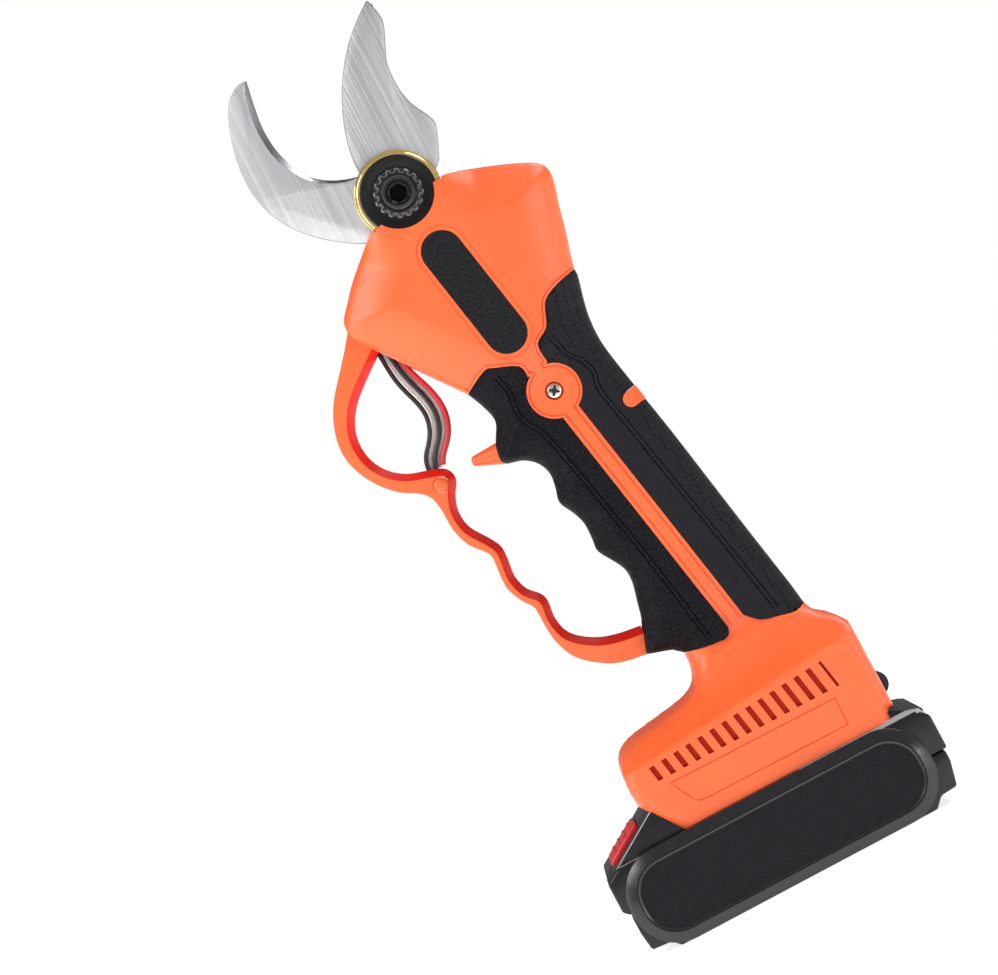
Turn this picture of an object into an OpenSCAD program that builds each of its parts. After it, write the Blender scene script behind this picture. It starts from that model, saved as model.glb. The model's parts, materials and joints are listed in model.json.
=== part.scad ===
// Battery electric pruner: a blade pair driven by a geared motor, a two-part
// grip housing with a finger guard, and a slide-on battery that it stands on.
// Rest pose: jaws open, standing upright on the battery, front towards -X.

/* [Handle] */
// Lean of the handle axis from upright, degrees
lean = 10.3; // [10:0.1:10.6]
// Thickness of the handle over the grips
grip_w = 36; // [36:0.5:40]
// Thickness of the grip skin over the core
skin = 2; // [1.6:0.1:2.2]
// Wall of the clamshell housing
wall = 1.8; // [1.5:0.1:1.9]

/* [Head] */
// Thickness of the head
head_w = 42; // [42:0.5:46]
// Radius of the round cut-out round the pivot
cutout_r = 11.7; // [11:0.1:12.2]

/* [Blades] */
// Thickness of the fixed hook blade
hook_t = 3.5; // [2.5:0.1:3.6]
// Thickness of the moving blade
blade_t = 3; // [2:0.1:3]
// Radius of the pivot bolt
bolt_r = 4; // [3.5:0.1:4.2]
// Teeth on the serrated lock nut
nut_teeth = 16; // [12:1:20]

/* [Drive] */
// Teeth of a full turn of the blade gear
crown_teeth = 36; // [36:12:36]
// Teeth of the pinion
pinion_teeth = 12; // [12:12:12]
// Module of the planetary stage
planet_m = 0.7; // [0.68:0.01:0.7]
// Radius of the motor can
motor_r = 12.2; // [11.5:0.1:12.3]

/* [Base] */
// Width of the base housing
base_w = 66; // [66:1:70]

/* [Battery] */
// Length of the battery
batt_l = 117; // [115:1:117]
// Width of the battery
batt_w = 75; // [75:1:78]
// Diameter of a cell
cell_d = 18.2; // [18:0.1:18.4]
// Length of a cell
cell_l = 65; // [63:0.5:65.5]

/* [Hidden] */
$fn = 48;
orange = [0.95, 0.32, 0.12];
rubber = [0.13, 0.13, 0.15];
steel = [0.75, 0.75, 0.77];

pivot_x = -8;
pivot_z = 257;
head_y = head_w / 2;
grip_y = grip_w / 2;
core_y = grip_y - skin;
base_y = base_w / 2;
batt_x = -53;
side_t = 2.5;
case_y = batt_w / 2 - side_t;

// Depths of the blade stack, from the drive axis towards the left side
crown_pitch = 5;
crown_back = 7.5;
blade_y = crown_back + blade_t;
hook_y0 = blade_y + 0.1;
hook_y = hook_y0 + hook_t;
ring_y = 15.6;
disc_y = 18.4;
nut_y = 20.6;
crown_r0 = 13.5;
crown_r1 = 16.5;

// Points along a smooth open curve through p, s steps between neighbours
function blend3(a, b, c, d, t) = 0.5 * (2 * b + (c - a) * t
    + (2 * a - 5 * b + 4 * c - d) * t * t + (3 * b - a - 3 * c + d) * t * t * t);
function curve(p, s = 3) = let (n = len(p) - 1) concat(
    [for (i = [0:n - 1], j = [0:s - 1])
        blend3(p[max(i - 1, 0)], p[i], p[i + 1], p[min(i + 2, n)], j / s)],
    [p[n]]);
function arc(r, a0, a1, n = 12, c = [0, 0]) =
    [for (i = [0:n]) c + r * [cos(a0 + (a1 - a0) * i / n), sin(a0 + (a1 - a0) * i / n)]];

// Frame of the handle: origin at the blade pivot, +Z up the handle axis
module tool() { translate([pivot_x, 0, pivot_z]) rotate([0, -lean, 0]) children(); }
// A side-view outline made solid between two depths
module plate(y0, y1) {
    translate([0, y1, 0]) rotate([90, 0, 0]) linear_extrude(y1 - y0) children();
}
// A front-view outline made solid between two X values
module bar_x(x0, x1) {
    translate([x0, 0, 0]) rotate([90, 0, 90]) linear_extrude(x1 - x0) children();
}
module rod_y(r, y0, y1) { translate([0, y1, 0]) rotate([90, 0, 0]) cylinder(r = r, h = y1 - y0); }
module box(a, b) { translate(a) cube(b - a); }
// Builds on the left, y below zero; side 1 gives its mirror on the right
module sided(side) { if (side < 0) children(); else mirror([0, 1, 0]) children(); }

// ---- Side-view outlines of the handle, in its own frame ----
head_top = [[11.4, -3], [16, -4.5], [22, -7], [30, -11.5], [37, -16], [42, -20], [43.5, -24],
    [42, -29], [39, -35], [35.5, -43], [32, -50], [30, -54.5]];
head_left = [[-22.5, -65], [-29.5, -51], [-36.5, -37], [-40, -30], [-41, -25.5], [-40, -21.5],
    [-36, -18], [-31, -14], [-25, -10], [-19, -6.5], [-14, -4.2], [-11, -3.5]];
head_rear = [[30, -54.5], [22, -55], [16.5, -56.5], [14, -59], [10.5, -64], [5, -66.5], [4, -73]];
head_front = [[-4, -73], [-4, -68.5], [-10.5, -64], [-14, -62.5], [-22.5, -65]];
finger_edge = [[-22.5, -65], [-21, -72], [-21, -77.5], [-24.5, -82], [-26.5, -85], [-27.5, -90],
    [-22, -93], [-18.5, -97], [-17.5, -102], [-19, -107], [-21, -111.5], [-19.5, -117], [-18.8, -122],
    [-20, -128], [-21, -132], [-19, -137.5], [-17.6, -142.5], [-18.5, -147.5], [-21, -153],
    [-23.5, -158.5], [-26, -162], [-29.5, -168]];
palm_edge = [[30, -54.5], [29.5, -57], [27, -62.5], [24.5, -68.5], [22.8, -75], [22, -82],
    [22, -96], [22.2, -116], [22, -136], [21.8, -160], [21.8, -186]];
grip_foot = [[-29.5, -168], [-22, -172], [-20.5, -174.5], [-6.5, -179.5], [-3.2, -177]];
palm_foot = [[21.8, -186], [17.5, -186.5], [11.5, -184], [6.5, -181.5], [3.2, -177]];
core_left = -14.5;
core_right = 18.8;
boss_z = -81.7;
boss_r = 9.1;
strip_x = 2.6;

module head_2d() {
    difference() {
        polygon(concat(curve(head_left), curve(head_top), curve(head_rear), curve(head_front)));
        circle(cutout_r);
    }
}
// The core that the grips are moulded over, from the head to the base
module core_2d() {
    polygon([[core_left, -60], [core_left, -192], [core_right, -200], [core_right, -70],
        [22, -60], [25, -50], [-8, -50]]);
}
module strip_2d() {
    translate([-strip_x, -190]) square([2 * strip_x, 120]);
    translate([0, boss_z]) circle(boss_r);
}
module finger_2d() {
    difference() {
        polygon(concat(curve(finger_edge), curve(grip_foot), [[-3.2, -69]], [[-10, -50]]));
        head_2d();
        offset(0.15) strip_2d();
    }
}
module palm_2d() {
    difference() {
        polygon(concat(curve(palm_edge), curve(palm_foot), [[3.2, -66]], [[12, -50]]));
        head_2d();
        offset(0.15) strip_2d();
    }
}
// Orange band across the back of the palm grip, with a round end
module tab_2d() {
    translate([18, -99.2]) circle(2.7);
    translate([18, -101.9]) square([12, 5.4]);
}
// Cross-section of the handle across its axis
module handle_section(y, x0, x1, r) {
    translate([x0 + r, -y + r]) offset(r) square([x1 - x0 - 2 * r, 2 * (y - r)]);
}
module palm_round() {
    translate([0, 0, -190]) linear_extrude(150) handle_section(grip_y, -34, 36, 7);
}
// Thickness of the head from the left, as seen from the front
module head_section(y, top) {
    polygon([[0, top], [-y + 2.5, top], [-y, -9], [-y, -66], [-grip_y + head_y - y, -77],
        [-grip_y + head_y - y, -80], [0, -80]]);
}

// ---- Side-view outlines of the base, in the object's frame ----
base_front = [[-32.6, 45], [-33, 51], [-32, 57], [-29.6, 61], [-25, 63.5], [-17, 64.9], [-7.5, 66.3],
    [-2, 67.6], [2, 70], [4, 74.5], [4.5, 81]];
module base_2d() {
    polygon(concat([[-23, 31.5]], curve(base_front), [[4.5, 90], [42, 90], [46.4, 78], [46.8, 76],
        [49, 73], [53, 70], [55.6, 66.5], [55.6, 35.6], [53, 35.6], [53, 31.5]]));
}
// Height profile of the base, seen from the front: upright sides and sloping shoulders
module base_section(y, neck) {
    polygon([[0, 31], [-y, 31], [-y, 56], [-y + 2, 61], [-y + 8, 67], [-neck - 1.5, 75],
        [-neck, 82], [-neck, 95], [0, 95]]);
}

// Where the trigger slides: out of the grip's nose, tilted up
trigger_at = [-26.4, -86.6];
trigger_tilt = 21;
trigger_travel = 3.5;
module trigger_axis() {
    tool() translate([trigger_at[0], 0, trigger_at[1]]) rotate([0, -90 + trigger_tilt, 0]) children();
}
trigger_bore_r = 3.9;

// Screws that join the two shells: x and z in the handle's frame, then in the base's
screw_list = [[0, boss_z], [25, -26], [-28, -30], [0, -120], [0, -160]];
base_screws = [[-24, 57], [46, 60]];
screw_r = 1.5;
screw_head_r = 2.75;
post_r = 3.4;

module at_screws() {
    for (s = screw_list) tool() translate([s[0], 0, s[1]]) children();
    for (s = base_screws) translate([s[0], 0, s[1]]) children();
}
// The first screw goes in from the left face, and the others from the right
module screw_holes() {
    for (i = [0:len(screw_list) - 1]) tool() translate([screw_list[i][0], 0, screw_list[i][1]]) {
        y = i == 1 || i == 2 ? head_y : grip_y;
        s = i == 0 ? -1 : 1;
        sided(s) rod_y(screw_r, -y - 1, y - 4);
        sided(s) rod_y(3.1, -y - 1, -y + 2.2);
    }
    for (s = base_screws) translate([s[0], 0, s[1]]) {
        rod_y(screw_r, -base_y + 3, base_y + 1);
        rod_y(3.1, base_y - 2.2, base_y + 1);
    }
}

// Vent recesses in the base wall: they lean with the handle and grow to the rear
vent_pitch = 4.6;
vent_z = 49.9;
module vents() {
    for (i = [0:13]) translate([-22 + vent_pitch * i, 0, vent_z]) rotate([0, -lean, 0])
        box([-0.9, -base_y - 1, 0], [0.9, -base_y + 1.2, 4.5 + 0.36 * i]);
}

module shell_solid() {
    tool() {
        intersection() {
            plate(-head_y, 0) head_2d();
            bar_x(-60, 60) head_section(head_y, 2);
        }
        intersection() {
            plate(-core_y, 0) core_2d();
            translate([0, 0, -205]) linear_extrude(160) handle_section(core_y, -40, core_right, 10);
        }
    }
    intersection() {
        plate(-base_y, 0) base_2d();
        bar_x(-60, 60) base_section(base_y, core_y - 0.4);
    }
}
// Hollow of the head and core, in the handle's frame
module shell_cavity() {
    tool() {
        intersection() {
            plate(-head_y + wall, 0) offset(delta = -wall) head_2d();
            bar_x(-60, 60) head_section(head_y - wall, 2);
        }
        intersection() {
            plate(-core_y + wall, 0) offset(delta = -wall) core_2d();
            translate([0, 0, -205]) linear_extrude(165) handle_section(core_y - wall, -40, core_right - wall, 9);
        }
        plate(-core_y + wall, 0) polygon([[-13.5, -44], [-12.7, -67], [16, -67], [22, -56], [26, -44]]);
    }
    intersection() {
        plate(-base_y + wall, 0) offset(delta = -wall) base_2d();
        bar_x(-60, 60) base_section(base_y - wall, core_y - wall - 0.4);
    }
    box([-40, -base_y + wall, 30], [53.6, 0, 44.4]);
}
// Room for the blades and their gear to leave the head
module mouth() {
    tool() {
        box([-45, -15.2, -12], [13, 9.5, 12]);
        box([-45, -15.2, -5], [21, 9.5, 12]);
        rod_y(14.9, -19.2, 9.5);
        rod_y(cutout_r, -30, 30);
    }
}

module shell_half(side) {
    color(orange) difference() {
        union() {
            sided(side) difference() {
                union() {
                    shell_solid();
                    tool() plate(-grip_y, -core_y + 1) strip_2d();
                    tool() intersection() {
                        plate(-grip_y, 0) palm_2d();
                        palm_round();
                        plate(-grip_y, 0) tab_2d();
                    }
                }
                shell_cavity();
                vents();
            }
            intersection() {
                at_screws() rod_y(post_r, side < 0 ? -base_y : 0, side < 0 ? 0 : base_y);
                sided(side) shell_solid();
            }
        }
        screw_holes();
        mouth();
        trigger_axis() translate([0, 0, -30]) cylinder(r = trigger_bore_r, h = 60);
        tool() guard_socket();
        box([50, -5.2, 36], [60, 5.2, 48.4]);
        tool() wire_exit();
        tool() sided(side) plate(-head_y - 1, -head_y + inlay_t) offset(0.1) inlay_2d();
    }
}
module left_shell() { shell_half(-1); }
module right_shell() { shell_half(1); }

// ---- Grips: soft skins over the core, split along the centre plane ----
module grip_half(side) {
    color(rubber) difference() {
        sided(side) difference() {
            intersection() {
                tool() plate(-grip_y, 0) children();
                tool() palm_round();
            }
            tool() intersection() {
                plate(-core_y, 0) core_2d();
                translate([0, 0, -205]) linear_extrude(160) handle_section(core_y, -40, core_right, 10);
            }
            shell_solid();
            tool() plate(-grip_y - 1, 1) offset(0.1) tab_2d();
        }
        trigger_axis() translate([0, 0, -30]) cylinder(r = trigger_bore_r, h = 60);
        tool() guard_socket();
    }
}
module left_finger_grip() { grip_half(-1) finger_2d(); }
module right_finger_grip() { grip_half(1) finger_2d(); }
module left_palm_grip() { grip_half(-1) palm_2d(); }
module right_palm_grip() { grip_half(1) palm_2d(); }

// ---- Textured pads let into the cheeks of the head ----
inlay_t = 0.8;
inlay_r = 6.8;
module inlay_2d() {
    hull() for (z = [-57.3, -23.7]) translate([-0.6, z]) circle(inlay_r);
}
module inlay(side) { color(rubber) tool() sided(side) plate(-head_y, -head_y + inlay_t) inlay_2d(); }
module left_head_inlay() { inlay(-1); }
module right_head_inlay() { inlay(1); }

// ---- Finger guard ----
guard_y = 7;
guard_outer = [[-38, -22], [-46.5, -29.5], [-52, -34], [-58, -39], [-63, -45], [-66.5, -52.5],
    [-67.2, -60], [-65, -68.5], [-60.5, -76], [-55.5, -80.5], [-53, -84.5], [-53, -90], [-54, -97],
    [-53, -104], [-49.5, -110.5], [-50.5, -116], [-52, -123], [-50.5, -129.5], [-48.8, -133.5],
    [-49.8, -140], [-50.2, -147], [-48.5, -154], [-44, -160], [-38, -164.8], [-29, -168.2]];
guard_inner = [[-25.2, -159.8], [-32, -157.5], [-38, -154.5], [-43, -150], [-45.5, -145.5],
    [-45.6, -140], [-44, -134.5], [-44.5, -131], [-47, -127], [-47.6, -121.5], [-46, -116],
    [-45, -111], [-46.5, -106], [-49.2, -99.5], [-49, -93.5], [-46.5, -88.5], [-43.3, -85],
    [-42.6, -82], [-44, -79], [-48.5, -76.3], [-54.5, -73], [-59, -68], [-61.2, -61.5],
    [-60.5, -54.5], [-57.5, -49], [-52.5, -44.3], [-45, -40], [-36, -35.5]];
module guard_2d() {
    difference() {
        polygon(concat(curve(guard_outer), curve(guard_inner)));
        head_2d();
    }
}
// Slot at the root of the guard that the wires come out of
module wire_exit() { box([-39.5, -2.6, -50], [-31, 2.6, -30]); }
// Clearance that the lower end of the guard plugs into
module guard_socket() {
    plate(-guard_y - 0.1, guard_y + 0.1) polygon([[-40, -167.2], [-25, -168], [-21.5, -159], [-40, -155]]);
}
module trigger_guard() {
    color(orange) tool() difference() {
        union() {
            plate(-guard_y, guard_y) guard_2d();
            plate(-guard_y + 1.5, guard_y - 1.5) polygon([[-31, -166], [-25.5, -167.3], [-22.5, -160], [-30, -158.5]]);
        }
        translate([-48, 0, -82.8]) rod_y(2.5, -guard_y - 1, guard_y + 1);
        box([-49.5, -5, -80], [-41.5, 5, -74]);
        wire_exit();
    }
}
module guard_rivet() {
    color(orange) tool() translate([-48, 0, -82.8]) difference() {
        union() {
            rod_y(2.5, -guard_y, guard_y);
            rod_y(2.3, -guard_y - 0.8, guard_y + 0.8);
        }
        rod_y(1, guard_y - 3, guard_y + 2);
    }
}

// ---- Screws ----
// A screw pointing along +Y with a cross recess, its head's top face at y = 0
module screw(l) {
    difference() {
        union() {
            rod_y(screw_head_r, 0, 1.8);
            rod_y(screw_r, 1.8, l);
        }
        box([-0.4, -1, -1.7], [0.4, 1, 1.7]);
        box([-1.7, -1, -0.4], [1.7, 1, 0.4]);
    }
}
module shell_screws() {
    color(steel) {
        tool() translate([0, -grip_y + 0.4, boss_z]) screw(30);
        for (i = [1:len(screw_list) - 1]) tool() translate([screw_list[i][0], 0, screw_list[i][1]])
            translate([0, (i < 3 ? head_y : grip_y) - 0.4, 0]) mirror([0, 1, 0]) screw(i < 3 ? 34 : 30);
        for (s = base_screws) translate([s[0], base_y - 0.4, s[1]]) mirror([0, 1, 0]) screw(58);
    }
}

// ---- Blades ----
blade_back = [[31, 56.5], [31.3, 48.6], [27, 41.5], [23.5, 36], [21.6, 28], [21.7, 21], [24, 12.6],
    [22.3, 8], [17.5, 1]];
blade_edge = [[-5.8, 14], [-4.1, 20.4], [-1.2, 27], [2.4, 33], [7.3, 39.4], [12.8, 45],
    [18.3, 49.5], [25, 53.6], [31, 56.5]];
hook_out = [[-16.2, 59.8], [-20, 60.2], [-24.8, 57.8], [-28.3, 53.8], [-32.3, 46.8], [-35.6, 38.5],
    [-37.4, 29.5], [-37, 21.5], [-34.5, 13.5], [-30.3, 6.4], [-25, 0], [-19.8, -4.8], [-13.5, -9]];
hook_in = [[-7.3, 13], [-10.4, 14.5], [-14.8, 17.5], [-18.9, 22], [-21.6, 28.5], [-22.5, 36],
    [-21.6, 44.2], [-19.1, 52.2], [-16.2, 59.8]];
bush_r = 6;
module moving_blade() {
    color(steel) tool() difference() {
        union() {
            plate(-blade_y, -crown_back) polygon(concat(curve(blade_edge), curve(blade_back), [[0, 0]]));
            rod_y(14, -blade_y, -crown_back);
        }
        rod_y(bush_r, -blade_y - 1, -crown_back + 1);
        // Ground bevel along the cutting edge
        plate(-crown_back - 1.2, -crown_back + 1)
            polygon(concat(curve(blade_edge), [for (i = [8:-1:1]) blade_edge[i] + [1.8, -1.6]]));
    }
}
module hook_blade() {
    color(steel) tool() difference() {
        union() {
            plate(-hook_y, -hook_y0) polygon(concat(curve(hook_out), [[0, -6]], curve(hook_in)));
            rod_y(14, -hook_y, -hook_y0);
            plate(-hook_y, -hook_y0) polygon([[-14, -4], [-15.5, -19.5], [15.5, -19.5], [12, -6]]);
        }
        rod_y(bolt_r, -hook_y - 1, 0);
        for (x = [-12, 12]) translate([x, 0, -15.5]) rod_y(1.2, -hook_y - 1, 0);
        // Relief ground along the inner edge
        plate(-hook_y - 1, -hook_y + 0.8)
            polygon(concat(curve(hook_in), [for (i = [8:-1:0]) hook_in[i] + [-1.6, -1.2]]));
    }
}
// Tapered gear tooth across the depth: wide at the root, narrow at the tip
module tooth_2d(root, tip, h) { polygon([[-root, 0], [-tip, h], [tip, h], [root, 0]]); }
// Face gear on the back of the moving blade: radial teeth over the driven sector
module blade_gear() {
    tooth_a = 360 / crown_teeth;
    color([0.45, 0.46, 0.48]) tool() difference() {
        union() {
            plate(-crown_back, -6.1) polygon(concat([[0, 0]], arc(crown_r1, -165, -75, 18)));
            rod_y(9.5, -crown_back, -6.1);
            for (i = [-1:6]) rotate([0, tooth_a * (i + 0.5), 0])
                translate([0, -6.1, -crown_r1]) linear_extrude(crown_r1 - crown_r0) tooth_2d(0.62, 0.3, 1.7);
        }
        rod_y(bush_r, -crown_back - 1, 0);
    }
}
module pivot_bush() {
    color([0.72, 0.55, 0.28]) tool() difference() {
        rod_y(bush_r, -blade_y, -4.5);
        rod_y(bolt_r + 0.04, -blade_y - 1, 0);
    }
}
module pivot_bolt() {
    color([0.2, 0.2, 0.22]) tool() difference() {
        union() {
            rod_y(bolt_r, -nut_y, 8);
            rod_y(7, 8, 12.5);
        }
        rotate([90, 0, 0]) translate([0, 0, nut_y - 3.5]) cylinder(r = 2.9, h = 6, $fn = 6);
    }
}
module brass_ring() {
    color([0.85, 0.68, 0.35]) tool() difference() {
        union() {
            rod_y(14.5, -ring_y, -hook_y);
            rod_y(13.6, -ring_y - 0.6, -hook_y);
        }
        rod_y(bolt_r, -20, 0);
    }
}
module cover_disc() {
    color(rubber) tool() difference() {
        rod_y(12.7, -disc_y, -ring_y - 0.6);
        rod_y(bolt_r, -25, 0);
    }
}
module lock_nut() {
    color(rubber) tool() difference() {
        rod_y(8.2, -nut_y, -disc_y);
        rod_y(bolt_r, -25, 0);
        for (i = [0:nut_teeth - 1]) rotate([0, 360 / nut_teeth * i, 0])
            box([-0.7, -nut_y - 1, 6.9], [0.7, -disc_y - 0.6, 9]);
    }
}

// ---- Head frame, which carries the pivot, the hook blade and the gearbox ----
frame_y = 6;
module head_frame() {
    color([0.6, 0.61, 0.63]) tool() difference() {
        union() {
            plate(frame_y, 8) polygon(concat(arc(11, 180, 0, 16), [[14, -20], [-14, -20]]));
            rod_y(bolt_r + 2.2, 0, frame_y);
            translate([0, 0, -24]) cylinder(r = 15.4, h = 4);
            for (x = [-12, 12]) translate([x, 0, -15.5]) rod_y(2.5, -hook_y0, frame_y);
        }
        rod_y(bolt_r, -1, 9);
        translate([0, 0, -25]) cylinder(r = 5.5, h = 6);
        for (x = [-12, 12]) translate([x, 0, -15.5]) rod_y(1.2, -hook_y0 - 1, -2);
    }
}
module pinion_bearing() {
    color(steel) tool() translate([0, 0, -24]) difference() {
        cylinder(r = 5.5, h = 4);
        translate([0, 0, -1]) cylinder(r = 3.04, h = 6);
    }
}
// Spur gear outline with n trapezoid teeth of module m, a tooth centred on +X
module gear_2d(n, m, thick = 0.4) {
    p = m * PI;
    rr = m * (n / 2 - 1.15);
    rt = m * (n / 2 + 0.85);
    circle(rr);
    for (i = [0:n - 1]) rotate(360 / n * i)
        polygon([[rr - 0.3, -p * 0.34], [rr, -p * 0.32], [m * n / 2, -p * thick / 2], [rt, -p * 0.1],
            [rt, p * 0.1], [m * n / 2, p * thick / 2], [rr, p * 0.32], [rr - 0.3, p * 0.34]]);
}
pinion_m = 2 * (crown_r0 + crown_r1) / 2 / crown_teeth;
module bevel_pinion() {
    color([0.5, 0.5, 0.52]) tool() translate([0, 0, -crown_r1 + 0.1]) difference() {
        linear_extrude(crown_r1 - crown_r0 - 0.2) rotate(-90) gear_2d(pinion_teeth, pinion_m, 0.36);
        translate([0, 0, -1]) cylinder(r = 2.4, h = 5);
    }
}
planet_n = 12;
ring_n = 36;
planet_c = planet_m * planet_n;
module at_planet(i) { tool() rotate(120 * i) translate([planet_c, 0, -36]) children(); }
module planet_carrier() {
    color(steel) tool() {
        translate([0, 0, -29]) cylinder(r = 11, h = 3);
        translate([0, 0, -26]) cylinder(r = 3, h = 26 - crown_r1 + 0.1);
        translate([0, 0, -crown_r1 + 0.1]) cylinder(r = 2.4, h = 3.4);
        for (i = [0:2]) rotate(120 * i) translate([planet_c, 0, -36.5]) cylinder(r = 1.4, h = 7.5);
    }
}
module planet(i) {
    color([0.6, 0.58, 0.5]) at_planet(i) difference() {
        linear_extrude(6) rotate(180 / planet_n) gear_2d(planet_n, planet_m, 0.4);
        translate([0, 0, -1]) cylinder(r = 1.45, h = 8);
    }
}
module planet_gear_1() { planet(0); }
module planet_gear_2() { planet(1); }
module planet_gear_3() { planet(2); }
module sun_gear() {
    color([0.5, 0.5, 0.52]) tool() translate([0, 0, -37]) difference() {
        linear_extrude(7) gear_2d(planet_n, planet_m, 0.4);
        translate([0, 0, -1]) cylinder(r = 1.5, h = 9);
    }
}
module ring_gear() {
    r = planet_m * ring_n / 2;
    p = planet_m * PI;
    color([0.3, 0.31, 0.33]) tool() {
        difference() {
            translate([0, 0, -41]) cylinder(r = 15.4, h = 17);
            translate([0, 0, -39]) cylinder(r = r + 0.95 * planet_m + 0.3, h = 16);
            translate([0, 0, -42]) cylinder(r = 3, h = 4);
        }
        translate([0, 0, -36.5]) linear_extrude(7) for (i = [0:ring_n - 1]) rotate(360 / ring_n * i)
            polygon([[r + 1.3, -p * 0.32], [r, -p * 0.2], [r - 0.7 * planet_m, -p * 0.1],
                [r - 0.7 * planet_m, p * 0.1], [r, p * 0.2], [r + 1.3, p * 0.32]]);
    }
}
motor_z = -72;
module rotor() {
    color([0.5, 0.42, 0.35]) tool() {
        translate([0, 0, -75]) cylinder(r = 1.5, h = 45);
        translate([0, 0, -66]) cylinder(r = 8.6, h = 20);
        translate([0, 0, -71.5]) cylinder(r = 3.6, h = 4.5);
    }
}
module magnets() {
    color([0.28, 0.28, 0.3]) tool() translate([0, 0, -67]) for (s = [0, 180]) rotate(s)
        rotate([0, 0, -60]) rotate_extrude(angle = 120) translate([9.1, 0]) square([motor_r - 1 - 9.1, 22]);
}
module motor_can() {
    color([0.62, 0.62, 0.65]) tool() difference() {
        translate([0, 0, motor_z]) cylinder(r = motor_r, h = -41 - motor_z);
        translate([0, 0, motor_z - 1]) cylinder(r = motor_r - 1, h = -41 - motor_z - 0.2);
        translate([0, 0, -50]) cylinder(r = 1.55, h = 12);
    }
}
module motor_end_cap() {
    color(rubber) tool() difference() {
        translate([0, 0, motor_z - 3.5]) cylinder(r = motor_r, h = 3.5);
        translate([0, 0, motor_z - 3.1]) cylinder(r = 1.55, h = 4);
        translate([0, 0, motor_z - 1.5]) cylinder(r = 5, h = 2);
    }
}

// ---- Trigger ----
module trigger_button() {
    color(orange) trigger_axis() {
        cylinder(r1 = 3.8, r2 = 1.8, h = 8.4);
        translate([0, 0, -15.5]) cylinder(r = 3.8, h = 15.5);
        translate([0, 0, -17]) cylinder(r = 2.4, h = 1.5);
    }
}
module trigger_spring() {
    color(steel) trigger_axis() translate([0, 0, -21.5]) difference() {
        cylinder(r = 2.2, h = 4.5);
        translate([0, 0, -1]) cylinder(r = 1.5, h = 7);
    }
}
module trigger_switch() {
    color([0.2, 0.2, 0.22]) trigger_axis() box([-5, -3.2, -31], [5, 3.2, -21.5]);
}

// ---- Electronics ----
module control_board() {
    color([0.1, 0.35, 0.18]) {
        box([-19, -24, 55], [34, 24, 56.6]);
        for (x = [-16, -5, 6]) box([x, -18, 56.6], [x + 7, -8, 59.5]);
        box([8, 6, 56.6], [18, 16, 58.6]);
    }
}
module capacitor() {
    color([0.1, 0.1, 0.2]) translate([2, 12, 56.6]) cylinder(r = 4, h = 8);
}

// ---- Lead wires between the head and the guard, routes in the handle's frame ----
wire_black_front_pts = [[-37, -1, -33], [-37.8, -1, -40], [-38.8, -1, -46], [-38, -1, -53], [-37, -1, -60],
    [-39, -1, -66], [-43.5, -1, -70.5], [-47.5, -1, -73], [-48.5, -1, -78]];
wire_white_front_pts = [[-36, 0.9, -33], [-36, 0.9, -40], [-37, 0.9, -46], [-36, 0.9, -53], [-35.2, 0.9, -60],
    [-37, 0.9, -66], [-41.5, 0.9, -70.5], [-46, 0.9, -73.5], [-47, 0.9, -78]];
wire_black_rear_pts = [[-35, -1, -33], [-35, -1, -40], [-35.5, -1, -46], [-34.5, -1, -53], [-33.8, -1, -60],
    [-35.5, -1, -66.5], [-40, -1, -71.5], [-44.8, -1, -74.5], [-46, -1, -78]];
wire_white_rear_pts = [[-34, 1, -33], [-34, 1, -40], [-34, 1, -47], [-32.8, 1, -54], [-32.4, 1, -60],
    [-34, 1, -67], [-38.5, 1, -72], [-43.5, 1, -75], [-44.8, 1, -78]];
wire_red_pts = [[-33, -1, -33], [-33.2, -1, -40], [-33.2, -1, -46], [-31.8, -1, -53], [-31, -1, -60],
    [-32.5, -1, -67], [-37, -1, -73], [-42, -1, -75.5], [-43.4, -1, -78]];
// A tube swept along a route: a ring of sides at each point, ends closed
function unit(v) = v / norm(v);
function ring_at(p, d, r, n) = let (u = unit(cross(d, [0, 1, 0.001])), w = cross(u, d))
    [for (k = [0:n - 1]) p + r * (u * cos(360 * k / n) + w * sin(360 * k / n))];
module wire(route, r) {
    p = curve(route, 2);
    m = len(p);
    n = 8;
    pts = [for (i = [0:m - 1]) each ring_at(p[i], unit(p[min(i + 1, m - 1)] - p[max(i - 1, 0)]), r, n)];
    sides = [for (i = [0:m - 2], k = [0:n - 1])
        [i * n + k, (i + 1) * n + k, (i + 1) * n + (k + 1) % n, i * n + (k + 1) % n]];
    tool() polyhedron(pts, concat(sides, [[for (k = [0:n - 1]) k]],
        [[for (k = [n - 1:-1:0]) (m - 1) * n + k]]));
}
module wire_black_front() { color(rubber) wire(wire_black_front_pts, 0.8); }
module wire_black_rear() { color(rubber) wire(wire_black_rear_pts, 0.8); }
module wire_white_front() { color("white") wire(wire_white_front_pts, 0.8); }
module wire_white_rear() { color("white") wire(wire_white_rear_pts, 0.8); }
module wire_red() { color("red") wire(wire_red_pts, 1); }

// ---- Power switch on the rear wall ----
module power_bezel() {
    color(rubber) difference() {
        box([51.5, -5.1, 36.1], [56.8, 5.1, 48.3]);
        box([53, -3.6, 37.4], [58, 3.6, 47]);
    }
}
module power_rocker() {
    color(rubber) intersection() {
        box([54.2, -3.4, 37.8], [58, 3.4, 46.6]);
        translate([54.9, 0, 42.2]) difference() {
            rod_y(4.35, -3.4, 3.4);
            box([-6, -4, -6], [-0.6, 4, 6]);
        }
    }
}

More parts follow.
